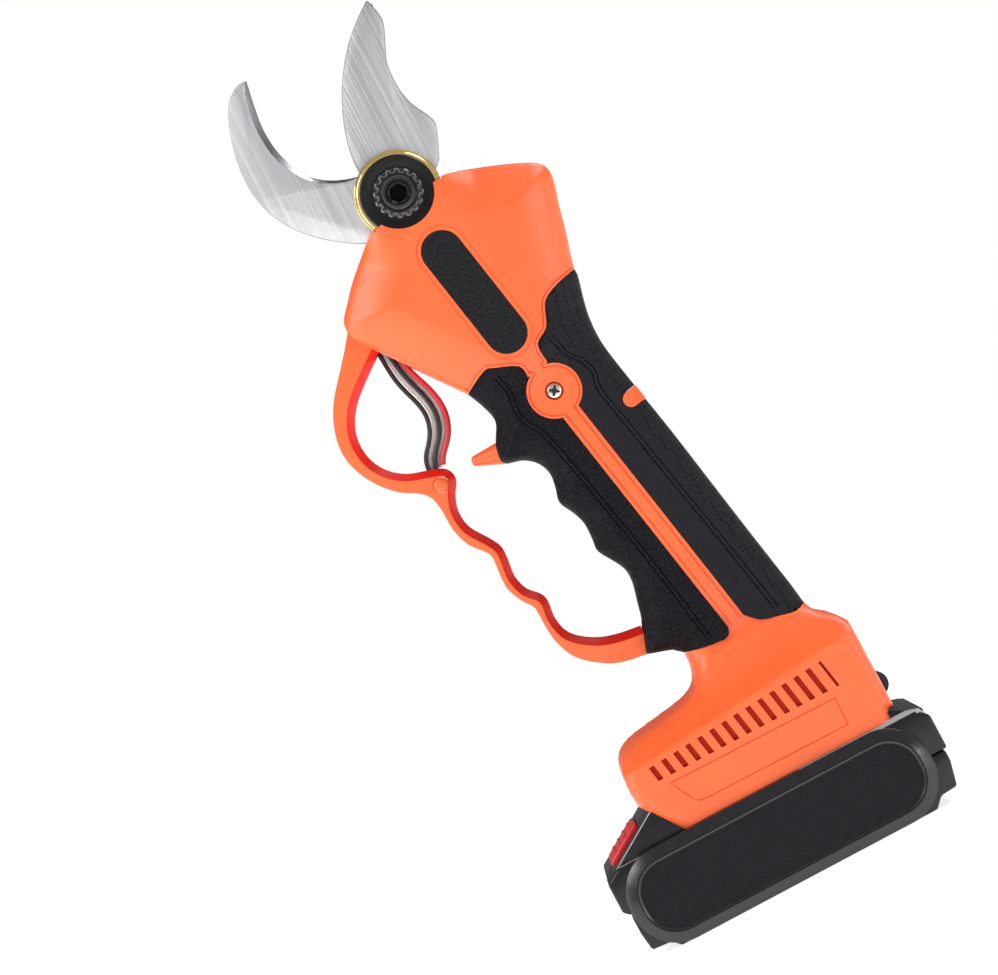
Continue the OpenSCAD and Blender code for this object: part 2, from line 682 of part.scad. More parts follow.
// ---- Battery interface of the tool ----
rail_y = 25;
module terminal_block() {
    color([0.16, 0.16, 0.18]) {
        box([-28, -30.5, 45], [50, 30.5, 47]);
        for (s = [-1, 1]) {
            box([-24, s > 0 ? rail_y : -rail_y - 3, 37.2], [18, s > 0 ? rail_y + 3 : -rail_y, 45]);
            box([-24, s > 0 ? rail_y - 3 : -rail_y, 37.2], [18, s > 0 ? rail_y : -rail_y + 3, 38.8]);
        }
        box([18, -21.5, 37], [22, 21.5, 45]);
    }
}
module tool_contacts() {
    color([0.8, 0.55, 0.3]) for (y = [-14, -5, 5, 14]) box([6, y - 0.4, 38.5], [18, y + 0.4, 42.5]);
}

// ---- Battery ----
lower_profile = [[2, 15.9], [2, 9.4], [2.9, 3], [9.8, 2.5], [12, 0], [105, 0], [108, 3.3], [114, 3.7],
    [116, 12], [116, 15.9]];
upper_profile = [[2, 16.1], [0, 18], [0, 28.2], [5, 31.2], [batt_l - 3, 31.2], [batt_l, 28], [batt_l, 16.1]];
module in_battery() { translate([batt_x, 0, 0]) children(); }
module battery_lower_case() {
    color(rubber) in_battery() difference() {
        plate(-case_y, case_y) polygon(lower_profile);
        box([5.5, -case_y + 2, 4.2], [111.5, case_y - 2, 20]);
        for (x = [6.5, 110]) box([x - 8, -12, -1], [x + 8, 12, 2]);
    }
}
module battery_upper_case() {
    color(rubber) in_battery() difference() {
        union() {
            plate(-case_y, case_y) polygon(upper_profile);
            plate(-30.3, 30.3) polygon([[0, 28.2], [22, 41.9], [25, 43.4], [28, 43.4], [28, 35.6],
                [104, 35.6], [batt_l - 1, 31], [batt_l - 1, 28]]);
            box([28, -21.6, 35], [69.5, 21.6, 43.4]);
            box([28, -24.6, 39.1], [69.5, 24.6, 43.4]);
        }
        box([3, -case_y + 2, 16], [batt_l - 3, case_y - 2, 23.6]);
        box([25, -case_y + 2, 23], [batt_l - 3, case_y - 2, 29.2]);
        box([30, -20, 29], [100, 20, 33.6]);
        for (y = [-14, -5, 5, 14]) box([57, y - 1.3, 37], [70, y + 1.3, 44]);
        // Pocket of the release button, square to the front slope
        in_slope() box([4.8, -15.2, -3.8], [20.2, 15.2, 6]);
        in_slope() translate([12.5, 0, -7.5]) cylinder(r = 2.2, h = 9);
    }
}
// Frame of the battery's front slope: X up the slope, Z out of it
slope_a = 31.8;
module in_slope() { translate([0, 0, 28.2]) rotate([0, -slope_a, 0]) children(); }
module side_cover(side) {
    color(rubber) in_battery() sided(side) {
        plate(-case_y - side_t + 1, -case_y) side_2d(0);
        plate(-case_y - side_t, -case_y - side_t + 1) side_2d(1);
    }
}
module side_2d(inset) {
    translate([2.5 + 15, 15]) offset(15 - inset) square([batt_l - 5.8 - 30, 2.2]);
}
module battery_side_left() { side_cover(-1); }
module battery_side_right() { side_cover(1); }
module battery_cell(i) {
    color([0.2, 0.4, 0.55]) in_battery() translate([20 + 19.3 * i, 0, 13.6]) {
        rod_y(cell_d / 2, -cell_l / 2, cell_l / 2 - 0.8);
        rod_y(3, cell_l / 2 - 0.8, cell_l / 2);
    }
}
module battery_cell_1() { battery_cell(0); }
module battery_cell_2() { battery_cell(1); }
module battery_cell_3() { battery_cell(2); }
module battery_cell_4() { battery_cell(3); }
module battery_cell_5() { battery_cell(4); }
module battery_board() {
    color([0.1, 0.35, 0.18]) in_battery() {
        box([27, -26, 24.2], [98, 26, 25.8]);
        box([40, -8, 25.8], [52, 8, 27.6]);
    }
}
module battery_contacts() {
    color([0.8, 0.55, 0.3]) in_battery() for (y = [-14, -5, 5, 14], s = [-1, 1])
        translate([58, y + s * 0.95, 37]) box([0, -0.35, 0], [9, 0.35, 5.5]);
}
module release_button() {
    color([0.8, 0.08, 0.1]) in_battery() in_slope() {
        box([5, -15, -0.6], [20, 15, 2]);
        for (i = [0:3]) box([8 + 3 * i, -12, 2], [9.2 + 3 * i, 12, 2.6]);
    }
}
module release_spring() {
    color(steel) in_battery() in_slope() translate([12.5, 0, -7.5]) difference() {
        cylinder(r = 2, h = 6.9);
        translate([0, 0, -1]) cylinder(r = 1.4, h = 14);
    }
}

left_shell();
right_shell();
left_finger_grip();
right_finger_grip();
left_palm_grip();
right_palm_grip();
left_head_inlay();
right_head_inlay();
trigger_guard();
guard_rivet();
shell_screws();
hook_blade();
moving_blade();
blade_gear();
pivot_bush();
pivot_bolt();
brass_ring();
cover_disc();
lock_nut();
head_frame();
pinion_bearing();
bevel_pinion();
planet_carrier();
planet_gear_1();
planet_gear_2();
planet_gear_3();
sun_gear();
ring_gear();
rotor();
magnets();
motor_can();
motor_end_cap();
trigger_button();
trigger_spring();
trigger_switch();
control_board();
capacitor();
wire_black_front();
wire_black_rear();
wire_white_front();
wire_white_rear();
wire_red();
power_bezel();
power_rocker();
terminal_block();
tool_contacts();
battery_lower_case();
battery_upper_case();
battery_side_left();
battery_side_right();
battery_cell_1();
battery_cell_2();
battery_cell_3();
battery_cell_4();
battery_cell_5();
battery_board();
battery_contacts();
release_button();
release_spring();
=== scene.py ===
"""Battery electric pruner: the finished looks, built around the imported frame."""

import json
import math

import bmesh
import bpy
import numpy as np
from mathutils import Matrix, Vector


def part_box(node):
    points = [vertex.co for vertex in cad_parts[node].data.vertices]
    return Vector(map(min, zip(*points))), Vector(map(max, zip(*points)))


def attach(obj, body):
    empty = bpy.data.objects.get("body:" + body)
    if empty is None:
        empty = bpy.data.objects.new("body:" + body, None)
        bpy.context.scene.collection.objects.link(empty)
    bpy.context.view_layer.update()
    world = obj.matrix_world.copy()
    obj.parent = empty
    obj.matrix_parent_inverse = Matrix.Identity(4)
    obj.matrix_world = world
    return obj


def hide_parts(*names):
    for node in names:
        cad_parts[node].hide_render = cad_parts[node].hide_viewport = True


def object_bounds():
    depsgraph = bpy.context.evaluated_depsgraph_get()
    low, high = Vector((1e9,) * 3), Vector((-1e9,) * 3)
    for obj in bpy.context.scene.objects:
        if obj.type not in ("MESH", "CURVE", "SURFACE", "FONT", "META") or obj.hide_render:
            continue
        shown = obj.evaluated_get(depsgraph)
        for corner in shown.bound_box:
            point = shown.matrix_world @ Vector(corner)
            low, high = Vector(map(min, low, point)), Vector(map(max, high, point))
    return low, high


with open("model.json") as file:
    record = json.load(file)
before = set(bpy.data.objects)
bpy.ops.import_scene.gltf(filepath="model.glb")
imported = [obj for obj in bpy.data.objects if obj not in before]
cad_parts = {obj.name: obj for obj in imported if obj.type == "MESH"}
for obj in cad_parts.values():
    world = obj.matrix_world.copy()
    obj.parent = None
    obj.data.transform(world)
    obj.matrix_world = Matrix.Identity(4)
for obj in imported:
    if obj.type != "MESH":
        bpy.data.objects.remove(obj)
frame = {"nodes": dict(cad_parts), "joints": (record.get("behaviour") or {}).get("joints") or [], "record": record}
CAD_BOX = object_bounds()

bl_info = {
    "name": "Battery Pruner",
    "version": (1, 0, 0),
    "blender": (4, 5, 0),
    "location": "View3D > Sidebar > Pruner",
    "description": "Builds the housing, grips, blades, battery and stage of a battery pruner",
    "category": "Object",
}

# ---- Frames: millimetres in the code, metres in the meshes ----
MM = 0.001


# ---- Settings shown in the panel ----
def length(name, default, text, top=50.0):
    """A size property, given in millimetres and kept in metres."""
    return bpy.props.FloatProperty(name=name, description=text, default=default * MM, min=0.01 * MM,
                                   max=top * MM, precision=5, unit="LENGTH")


def tone(name, default, text):
    return bpy.props.FloatVectorProperty(name=name, description=text, default=default, min=0.0, max=1.0,
                                         size=3, subtype="COLOR")


class PrunerSizes(bpy.types.PropertyGroup):
    """Sizes of the details that the pieces are shaped with"""
    edge_round: length("Edge rounding", 8.5, "Depth of the rounding along the edges of the handle", 12)
    border_step: length("Border step", 0.5, "Depth of the step between the shell and its grips", 1)
    pad_depth: length("Pad depth", 0.8, "Thickness of the soft pads on the head", 1.5)
    groove_depth: length("Grip grooves", 0.55, "Depth of the twin grooves along the grips", 1)
    vent_depth: length("Vent depth", 1.2, "Depth of the cooling slots", 1.5)
    vent_width: length("Vent width", 1.9, "Width of one cooling slot", 3)
    guard_round: length("Guard rounding", 1.1, "Rounding along the outer edge of the finger guard", 2)
    blade_bevel: length("Blade bevel", 2.0, "Width of the ground edge of the cutting blade", 4)
    hook_bevel: length("Hook bevel", 1.5, "Width of the ground edge inside the hook", 3)
    case_round: length("Case rounding", 0.8, "Rounding along the edges of the battery", 1.5)
    cover_rim: length("Cover rim", 3.6, "Width of the sloped rim round the battery's side covers", 6)
    spring_wire: length("Spring wire", 0.3, "Wire radius of the trigger spring", 0.5)
    nut_teeth: bpy.props.IntProperty(name="Nut teeth", description="Notches round the pivot nut", default=16,
                                     min=6, max=24)


class PrunerColours(bpy.types.PropertyGroup):
    """Main colours of the tool and its stage"""
    shell: tone("Shell", (0.93, 0.135, 0.03), "Housing, guard and trigger")
    # Recess colour: a deep red painted shade for the orange plastic in shadow on the guard's inner face
    recess: tone("Recess", (0.86, 0.018, 0.006), "Inner face of the guard")
    # Darker red painted shade for the walls and floor of the cooling slots
    vents: tone("Vents", (0.52, 0.02, 0.006), "Walls and floor of the cooling slots")
    rubber: tone("Rubber", (0.0085, 0.0085, 0.011), "Finger and palm grips")
    battery: tone("Battery", (0.007, 0.007, 0.0095), "Battery case")
    latch: tone("Latch", (0.72, 0.012, 0.018), "Release latch of the battery")
    steel: tone("Blade steel", (0.72, 0.72, 0.735), "Flat faces of both blades")
    brass: tone("Brass", (1.0, 0.7, 0.27), "Ring under the pivot nut")
    floor: tone("Floor", (0.93, 0.93, 0.945), "Ground that the tool stands on")


def size(name):
    """A size setting in millimetres."""
    return round(getattr(bpy.context.scene.pruner_sizes, name) / MM, 4)


def colour_of(value):
    """A colour as given, or the colour setting of that name."""
    return tuple(getattr(bpy.context.scene.pruner_colours, value)) if isinstance(value, str) else value


JOINT = {j["name"]: j for j in frame["joints"]}
PIVOT = Vector(JOINT["blade_close"]["pos_m"]) / MM
AXIS = Vector(JOINT["carrier_turn"]["axis"])
if AXIS.z < 0:
    AXIS.negate()
LEAN = math.atan2(-AXIS.x, AXIS.z)
TO_TOOL = Matrix.Translation((PIVOT.x, 0, PIVOT.z)) @ Matrix.Rotation(-LEAN, 4, "Y")
TO_ROW = Matrix.Identity(4)
SCALE = Matrix.Scale(MM, 4)
BATT_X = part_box("battery_upper_case")[0].x / MM


def row(p):
    """Side-view point of the handle's frame, in the object's frame."""
    v = TO_TOOL @ Vector((p[0], 0, p[1]))
    return (v.x, v.z)


def curve(p, s=3):
    """Points along a smooth open curve through p, s steps between neighbours."""
    out, n = [], len(p) - 1
    for i in range(n):
        a, b, c, d = p[max(i - 1, 0)], p[i], p[i + 1], p[min(i + 2, n)]
        for j in range(s):
            t = j / s
            out.append(tuple(0.5 * (2 * b[k] + (c[k] - a[k]) * t
                + (2 * a[k] - 5 * b[k] + 4 * c[k] - d[k]) * t * t
                + (3 * b[k] - a[k] - 3 * c[k] + d[k]) * t ** 3) for k in (0, 1)))
    return out + [tuple(p[n])]


def arc(r, a0, a1, n=24, c=(0, 0)):
    return [(c[0] + r * math.cos(math.radians(a0 + (a1 - a0) * i / n)),
             c[1] + r * math.sin(math.radians(a0 + (a1 - a0) * i / n))) for i in range(n + 1)]


# ---- Side-view outlines in the handle's frame ----
HEAD_TOP = [(11.4, -3), (16, -4.5), (22, -7), (30, -11.5), (37, -16), (42, -20), (43.5, -24),
            (42, -29), (39, -35), (35.5, -43), (32, -50), (30, -54.5)]
HEAD_LEFT = [(-22.5, -65), (-29.5, -51), (-36.5, -37), (-40, -30), (-41, -25.5), (-40, -21.5),
             (-36, -18), (-31, -14), (-25, -10), (-19, -6.5), (-14, -4.2), (-11, -3.5)]
HEAD_REAR = [(30, -54.5), (22, -55), (16.5, -56.5), (14, -59), (10.5, -64), (5, -66.5), (4, -73)]
HEAD_FRONT = [(-4, -73), (-4, -68.5), (-10.5, -64), (-14, -62.5), (-22.5, -65)]
FINGER_EDGE = [(-22.5, -65), (-21, -72), (-21, -77.5), (-24.5, -82), (-26.5, -85), (-27.5, -90),
               (-22, -93), (-18.5, -97), (-17.5, -102), (-19, -107), (-21, -111.5), (-19.5, -117),
               (-18.8, -122), (-20, -128), (-21, -132), (-19, -137.5), (-17.6, -142.5), (-18.5, -147.5),
               (-21, -153), (-23.5, -158.5), (-26, -162), (-29.5, -168)]
PALM_EDGE = [(30, -54.5), (29.5, -57), (27, -62.5), (24.5, -68.5), (22.8, -75), (22, -82),
             (22, -96), (22.2, -116), (22, -136), (21.8, -160), (21.8, -186)]
GRIP_FOOT = [(-29.5, -168), (-22, -172), (-20.5, -174.5), (-6.5, -179.5), (-3.2, -177)]
PALM_FOOT = [(21.8, -186), (17.5, -186.5), (11.5, -184), (6.5, -181.5), (3.2, -177)]
BOSS = (0, -81.7)
BOSS_R = 9.1
STRIP_X = 2.6
CUTOUT_R = 11.7
BASE_FRONT = [(-32.6, 45), (-33, 51), (-32, 57), (-29.6, 61), (-25, 63.5), (-17, 64.9), (-7.5, 66.3),
              (-2, 67.6), (2, 70), (4, 74.5), (4.5, 81)]
BASE_REAR = [(46.4, 78), (46.8, 76), (49, 73), (53, 70), (55.6, 66.5), (55.6, 35.6), (53, 35.6), (53, 31.5)]
# The whole side view of the housing, head, handle and base in one loop
BODY = ([row(p) for p in curve(HEAD_TOP) + curve(PALM_EDGE)[1:-1]] + BASE_REAR
        + [(-23, 31.5)] + curve(BASE_FRONT)
        + [row(p) for p in [(-22, -172)] + curve(FINGER_EDGE)[::-1] + curve(HEAD_LEFT)[1:]])
BOTTOM_Z = 31.5
# Part of the side view that the grips and their border fill, in the handle's frame
ZONE = [(-24.5, -64.2), (-14, -61), (-6, -60), (12, -52), (22, -53.3), (30.6, -53.6), (36, -60), (36, -187),
        (21.8, -187), (17.5, -186.5), (11.5, -184), (6.5, -181.5), (3.2, -177), (-3.2, -177), (-6.5, -179.5),
        (-20.5, -174.5), (-22, -172), (-29.5, -168), (-36, -168), (-36, -64)]
HEAD_LOOP = (curve(HEAD_LEFT) + curve(HEAD_TOP) + curve(HEAD_REAR)[1:] + curve(HEAD_FRONT)[:-1])
# Regions of the two grips, reaching past the body's outer edge
FINGER = [(-22.5, -65), (-40, -70), (-40, -168)] + curve(GRIP_FOOT) + [(-3.2, -69), (-10, -50)]
PALM = [(30, -54.4), (40, -54), (40, -186)] + curve(PALM_FOOT) + [(3.2, -66), (12, -50)]
GUARD_OUT = [(-38, -22), (-46.5, -29.5), (-52, -34), (-58, -39), (-63, -45), (-66.5, -52.5), (-67.2, -60),
             (-65, -68.5), (-60.5, -76), (-55.5, -80.5), (-53, -84.5), (-53, -90), (-54, -97), (-53, -104),
             (-49.5, -110.5), (-50.5, -116), (-52, -123), (-50.5, -129.5), (-48.8, -133.5), (-49.8, -140),
             (-50.2, -147), (-48.5, -154), (-44, -160), (-38, -164.8), (-29, -168.2)]
GUARD_IN = [(-25.2, -159.8), (-32, -157.5), (-38, -154.5), (-43, -150), (-45.5, -145.5), (-45.6, -140),
            (-44, -134.5), (-44.5, -131), (-47, -127), (-47.6, -121.5), (-46, -116), (-45, -111),
            (-46.5, -106), (-49.2, -99.5), (-49, -93.5), (-46.5, -88.5), (-43.3, -85), (-42.6, -82),
            (-44, -79), (-48.5, -76.3), (-54.5, -73), (-59, -68), (-61.2, -61.5), (-60.5, -54.5),
            (-57.5, -49), (-52.5, -44.3), (-45, -40), (-36, -35.5)]
BLADE_BACK = [(31, 56.5), (31.3, 48.6), (27, 41.5), (23.5, 36), (21.6, 28), (21.7, 21), (24, 12.6),
              (22.3, 8), (17.5, 1)]
BLADE_EDGE = [(-5.8, 14), (-4.1, 20.4), (-1.2, 27), (2.4, 33), (7.3, 39.4), (12.8, 45), (18.3, 49.5),
              (25, 53.6), (31, 56.5)]
HOOK_OUT = [(-16.2, 59.8), (-20, 60.2), (-24.8, 57.8), (-28.3, 53.8), (-32.3, 46.8), (-35.6, 38.5),
            (-37.4, 29.5), (-37, 21.5), (-34.5, 13.5), (-30.3, 6.4), (-25, 0), (-19.8, -4.8), (-13.5, -9)]
HOOK_IN = [(-7.3, 13), (-10.4, 14.5), (-14.8, 17.5), (-18.9, 22), (-21.6, 28.5), (-22.5, 36),
           (-21.6, 44.2), (-19.1, 52.2), (-16.2, 59.8)]
FINGER_GROOVE = [(-11.2, -66.5), (-11.2, -73.5), (-13, -79.3), (-12.8, -84.3), (-10.8, -89.5), (-10, -98.3),
                 (-9.6, -110), (-9, -144), (-9.5, -175)]
PALM_GROOVE = [(9.3, -67.9), (9.9, -74.6), (12.4, -79.4), (13.1, -84.7), (11.4, -89), (11, -93.5),
               (11.2, -102), (11.4, -120), (12, -150), (12.3, -181.5)]


# ---- Solids: meshes in millimetres, joined and cut by the manifold solver ----
def outline_solid(pts, y0, y1):
    """A side-view outline made solid between two depths."""
    bm = bmesh.new()
    face = bm.faces.new([bm.verts.new((x, y0, z)) for x, z in pts])
    grown = bmesh.ops.extrude_face_region(bm, geom=[face])["geom"]
    bmesh.ops.translate(bm, verts=[v for v in grown if isinstance(v, bmesh.types.BMVert)],
                        vec=(0, y1 - y0, 0))
    bmesh.ops.recalc_face_normals(bm, faces=bm.faces)
    return bm


def stadium(cx, z0, z1, r, n=16):
    """Side-view outline of a slot with round ends, upright."""
    return arc(r, 0, 180, n, (cx, max(z0, z1))) + arc(r, 180, 360, n, (cx, min(z0, z1)))


def block(a, b):
    bm = bmesh.new()
    bmesh.ops.create_cube(bm, size=1)
    size = Vector(b) - Vector(a)
    bmesh.ops.transform(bm, verts=bm.verts,
                        matrix=Matrix.Translation((Vector(a) + Vector(b)) / 2) @ Matrix.Diagonal((*size, 1)))
    return bm


def turned(profile, steps=64):
    """A profile of (radius, depth) points spun about the Y axis, closed on the axis or into a ring."""
    bm = bmesh.new()
    verts = [bm.verts.new((r, y, 0)) for r, y in profile]
    edges = [bm.edges.new((a, b)) for a, b in zip(verts, verts[1:])]
    if profile[0][0] > 1e-6:
        edges.append(bm.edges.new((verts[-1], verts[0])))
    bmesh.ops.spin(bm, geom=verts + edges, cent=(0, 0, 0), axis=(0, 1, 0), angle=2 * math.pi,
                   steps=steps, use_merge=True, use_normal_flip=False)
    bmesh.ops.remove_doubles(bm, verts=bm.verts, dist=1e-5)
    bmesh.ops.dissolve_degenerate(bm, dist=1e-6, edges=bm.edges)
    bmesh.ops.recalc_face_normals(bm, faces=bm.faces)
    return bm


def moved(bm, matrix):
    bmesh.ops.transform(bm, matrix=matrix, verts=bm.verts)
    return bm


def to_mesh(bm, name="solid"):
    mesh = bpy.data.meshes.new(name)
    bm.to_mesh(mesh)
    bm.free()
    return mesh


def applied(mesh, settings):
    """The mesh after one modifier, given as its type and values."""
    holder = bpy.data.objects.new("work", mesh)
    bpy.context.scene.collection.objects.link(holder)
    kind, values = settings
    modifier = holder.modifiers.new("work", kind)
    for key, value in values.items():
        setattr(modifier, key, value)
    graph = bpy.context.evaluated_depsgraph_get()
    result = bpy.data.meshes.new_from_object(holder.evaluated_get(graph))
    bpy.data.objects.remove(holder)
    return result


def combine(mesh, tool_bm, operation="DIFFERENCE"):
    """Joins, cuts or intersects a mesh with a bmesh or a mesh."""
    other = tool_bm if isinstance(tool_bm, bpy.types.Mesh) else to_mesh(tool_bm)
    cutter = bpy.data.objects.new("cutter", other)
    bpy.context.scene.collection.objects.link(cutter)
    result = applied(mesh, ("BOOLEAN", {"operation": operation, "solver": "MANIFOLD", "object": cutter}))
    bpy.data.objects.remove(cutter)
    if not len(result.polygons):
        raise RuntimeError("a solid came out empty: " + operation)
    return result


def soften(bm, edges, width, segments):
    bmesh.ops.bevel(bm, geom=edges, offset=width, offset_type="OFFSET", segments=segments, profile=0.5,
                    affect="EDGES", clamp_overlap=True, material=-1)


def edges_where(bm, keep):
    """Edges whose ends both pass a test."""
    return [e for e in bm.edges if all(keep(v.co) for v in e.verts)]


def bevelled(bm, width, segments=2, angle=40, keep=None):
    """Rounds the edges of a bmesh that turn by more than an angle."""
    edges = [e for e in bm.edges if len(e.link_faces) == 2 and e.calc_face_angle(0) > math.radians(angle)
             and (keep is None or keep(e))]
    soften(bm, edges, width, segments)
    return bm


def piece(name, source, mats, body, nodes, place=TO_ROW, sharp=32, paint=None):
    """Turns a solid in millimetres into a finished object that stands for its CAD nodes."""
    bm = source
    if isinstance(source, bpy.types.Mesh):
        bm = bmesh.new()
        bm.from_mesh(source)
    bmesh.ops.remove_doubles(bm, verts=bm.verts, dist=1e-4)
    for f in bm.faces:
        f.smooth = True
        f.material_index = paint(f.calc_center_median(), f.normal) if paint else 0
    for e in bm.edges:
        e.smooth = len(e.link_faces) == 2 and e.calc_face_angle(0) < math.radians(sharp)
    bmesh.ops.transform(bm, matrix=SCALE @ place, verts=bm.verts)
    mesh = to_mesh(bm, name)
    for m in mats:
        mesh.materials.append(m)
    obj = bpy.data.objects.new(name, mesh)
    bpy.context.scene.collection.objects.link(obj)
    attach(obj, body)
    if nodes:
        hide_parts(*nodes)
    return obj


# ---- Materials ----
class Nodes:
    """Short way to write a node material on object coordinates."""

    def __init__(self, name, colour, rough, metallic=0.0, coat=0.0, specular=0.5):
        self.mat = bpy.data.materials.new(name)
        self.mat.use_nodes = True
        self.tree = self.mat.node_tree
        self.shader = self.tree.nodes["Principled BSDF"]
        self.coords = self.add("ShaderNodeTexCoord").outputs["Object"]
        self.shader.inputs["Base Color"].default_value = (*colour, 1)
        self.shader.inputs["Roughness"].default_value = rough
        self.shader.inputs["Metallic"].default_value = metallic
        self.shader.inputs["Coat Weight"].default_value = coat
        self.shader.inputs["Coat Roughness"].default_value = 0.25
        self.shader.inputs["Specular IOR Level"].default_value = specular
        self.height = None

    def add(self, kind, **values):
        node = self.tree.nodes.new(kind)
        for key, value in values.items():
            if key in node.inputs:
                node.inputs[key].default_value = value
            else:
                setattr(node, key, value)
        return node

    def link(self, a, b):
        self.tree.links.new(a, b)

    def stretched(self, stretch):
        mapping = self.add("ShaderNodeMapping")
        mapping.inputs["Scale"].default_value = stretch
        self.link(self.coords, mapping.inputs["Vector"])
        return mapping.outputs["Vector"]

    def noise(self, scale, detail=3.0, stretch=None, roughness=0.55):
        node = self.add("ShaderNodeTexNoise", Scale=scale, Detail=detail, Roughness=roughness)
        self.link(self.stretched(stretch) if stretch else self.coords, node.inputs["Vector"])
        return node.outputs["Fac"]

    def cells(self, scale, stretch=None, randomness=1.0):
        node = self.add("ShaderNodeTexVoronoi", Scale=scale, Randomness=randomness)
        self.link(self.stretched(stretch) if stretch else self.coords, node.inputs["Vector"])
        return node.outputs["Distance"]

    def ramp(self, value, low, high, to_low, to_high):
        node = self.add("ShaderNodeMapRange")
        for key, number in (("From Min", low), ("From Max", high), ("To Min", to_low), ("To Max", to_high)):
            node.inputs[key].default_value = number
        self.link(value, node.inputs["Value"])
        return node.outputs["Result"]

    def tint(self, value, dark, light, low=0.3, high=0.7):
        """Base colour between two shades, by a texture value."""
        mix = self.add("ShaderNodeMix")
        mix.data_type = "RGBA"
        mix.inputs[6].default_value = (*dark, 1)
        mix.inputs[7].default_value = (*light, 1)
        self.link(self.ramp(value, low, high, 0, 1), mix.inputs[0])
        self.link(mix.outputs[2], self.shader.inputs["Base Color"])
        return self

    def gloss(self, value, smooth, dull, low=0.3, high=0.7):
        self.link(self.ramp(value, low, high, smooth, dull), self.shader.inputs["Roughness"])
        return self

    def bump(self, value, depth, strength=1.0):
        node = self.add("ShaderNodeBump", Strength=strength, Distance=depth)
        self.link(value, node.inputs["Height"])
        if self.height:
            self.link(self.height, node.inputs["Normal"])
        self.height = node.outputs["Normal"]
        self.link(self.height, self.shader.inputs["Normal"])
        return self


def shade(colour, factor):
    return tuple(min(c * factor, 1) for c in colour)


MATS = {}


def material(name):
    """Builds each finish once, the first time that a piece asks for it."""
    if name not in MATS:
        MATS[name] = FINISHES[name](name)
    return MATS[name]


def moulded(colour, rough, coat=0.0, grain=0.00002, grain_scale=2600.0, specular=0.5):
    """Moulded plastic: faint flow marks, uneven gloss and a fine grain."""
    def build(name):
        base = colour_of(colour)
        m = Nodes(name, base, rough, coat=coat, specular=specular)
        m.tint(m.noise(45, 4), shade(base, 0.93), shade(base, 1.05))
        m.gloss(m.noise(220, 3), rough - 0.05, rough + 0.07)
        m.bump(m.noise(grain_scale, 2), grain)
        return m.mat
    return build


def leather(colour, scale, depth, rough=0.6, specular=0.18):
    """Soft skin with a pebbled grain."""
    def build(name):
        base = colour_of(colour)
        m = Nodes(name, base, rough, specular=specular)
        pebbles = m.cells(scale)
        m.tint(pebbles, shade(base, 1.9), shade(base, 0.6), 0.05, 0.6)
        m.gloss(m.noise(300, 2), rough - 0.08, rough + 0.1)
        m.bump(pebbles, depth)
        m.bump(m.noise(4200, 2), depth * 0.25)
        return m.mat
    return build


def dimpled(colour, scale, depth, rough, specular):
    """Soft skin with rows of small pits."""
    def build(name):
        base = colour_of(colour)
        m = Nodes(name, base, rough, specular=specular)
        pits = m.ramp(m.cells(scale, randomness=0.3), 0.16, 0.4, 0, 1)
        # The pits are painted darker, as shade in them, and the skin between them lighter
        m.tint(pits, shade(base, 0.35), shade(base, 1.35), 0, 1)
        m.gloss(m.noise(300, 2), rough - 0.08, rough + 0.1)
        m.bump(pits, depth)
        m.bump(m.noise(4200, 2), depth * 0.2)
        return m.mat
    return build


def dashed(colour, rough):
    """Battery cover: rows of short raised dashes."""
    def build(name):
        base = colour_of(colour)
        m = Nodes(name, base, rough, specular=0.2)
        brick = m.add("ShaderNodeTexBrick", Scale=1.0)
        brick.inputs["Brick Width"].default_value = 0.0021
        brick.inputs["Row Height"].default_value = 0.00095
        brick.inputs["Mortar Size"].default_value = 0.0003
        brick.inputs["Mortar Smooth"].default_value = 0.6
        turn = m.add("ShaderNodeMapping")
        turn.inputs["Rotation"].default_value = (math.radians(90), 0, 0)
        m.link(m.coords, turn.inputs["Vector"])
        m.link(turn.outputs["Vector"], brick.inputs["Vector"])
        m.tint(brick.outputs["Fac"], shade(base, 1.5), shade(base, 0.75), 0, 1)
        m.gloss(m.noise(400, 2), rough - 0.06, rough + 0.08)
        m.bump(m.ramp(brick.outputs["Fac"], 0, 1, 1, 0), 0.0004)
        m.bump(m.noise(3600, 2), 0.00002)
        return m.mat
    return build


def brushed(colour, rough, stretch, contrast=0.16):
    """Ground steel: long fine scratches along one direction."""
    def build(name):
        base = colour_of(colour)
        m = Nodes(name, base, rough, metallic=1.0)
        fine = m.noise(1.0, 3, stretch)
        wide = m.noise(0.22, 4, stretch)
        both = m.add("ShaderNodeMath", operation="ADD")
        m.link(fine, both.inputs[0])
        m.link(wide, both.inputs[1])
        m.tint(both.outputs[0], shade(base, 1 - contrast), shade(base, 1 + contrast), 0.75, 1.25)
        m.gloss(fine, rough - 0.07, rough + 0.1)
        m.bump(fine, 0.00003)
        return m.mat
    return build


def metal(colour, rough, scale=900.0, depth=0.00001):
    """Plain machined or plated metal with faint stains."""
    def build(name):
        base = colour_of(colour)
        m = Nodes(name, base, rough, metallic=1.0)
        m.tint(m.noise(70, 4), shade(base, 0.88), shade(base, 1.05))
        m.gloss(m.noise(260, 3), rough - 0.05, rough + 0.09)
        m.bump(m.noise(scale, 2), depth)
        return m.mat
    return build


def coated(colour, rough):
    """Insulated wire or sleeve: soft, slightly uneven and a little shiny."""
    def build(name):
        base = colour_of(colour)
        m = Nodes(name, base, rough, coat=0.25)
        m.tint(m.noise(120, 2), shade(base, 0.9), shade(base, 1.06))
        m.gloss(m.noise(600, 2), rough - 0.06, rough + 0.08)
        m.bump(m.noise(1800, 2), 0.00001)
        return m.mat
    return build


def board(name):
    """Solder mask with tracks beneath it."""
    m = Nodes(name, (0.01, 0.13, 0.05), 0.4, coat=0.3)
    m.tint(m.cells(420, (1, 1, 0.01)), (0.006, 0.09, 0.035), (0.02, 0.2, 0.08), 0.2, 0.5)
    m.gloss(m.noise(500, 2), 0.32, 0.5)
    m.bump(m.noise(900, 1), 0.00002)
    return m.mat


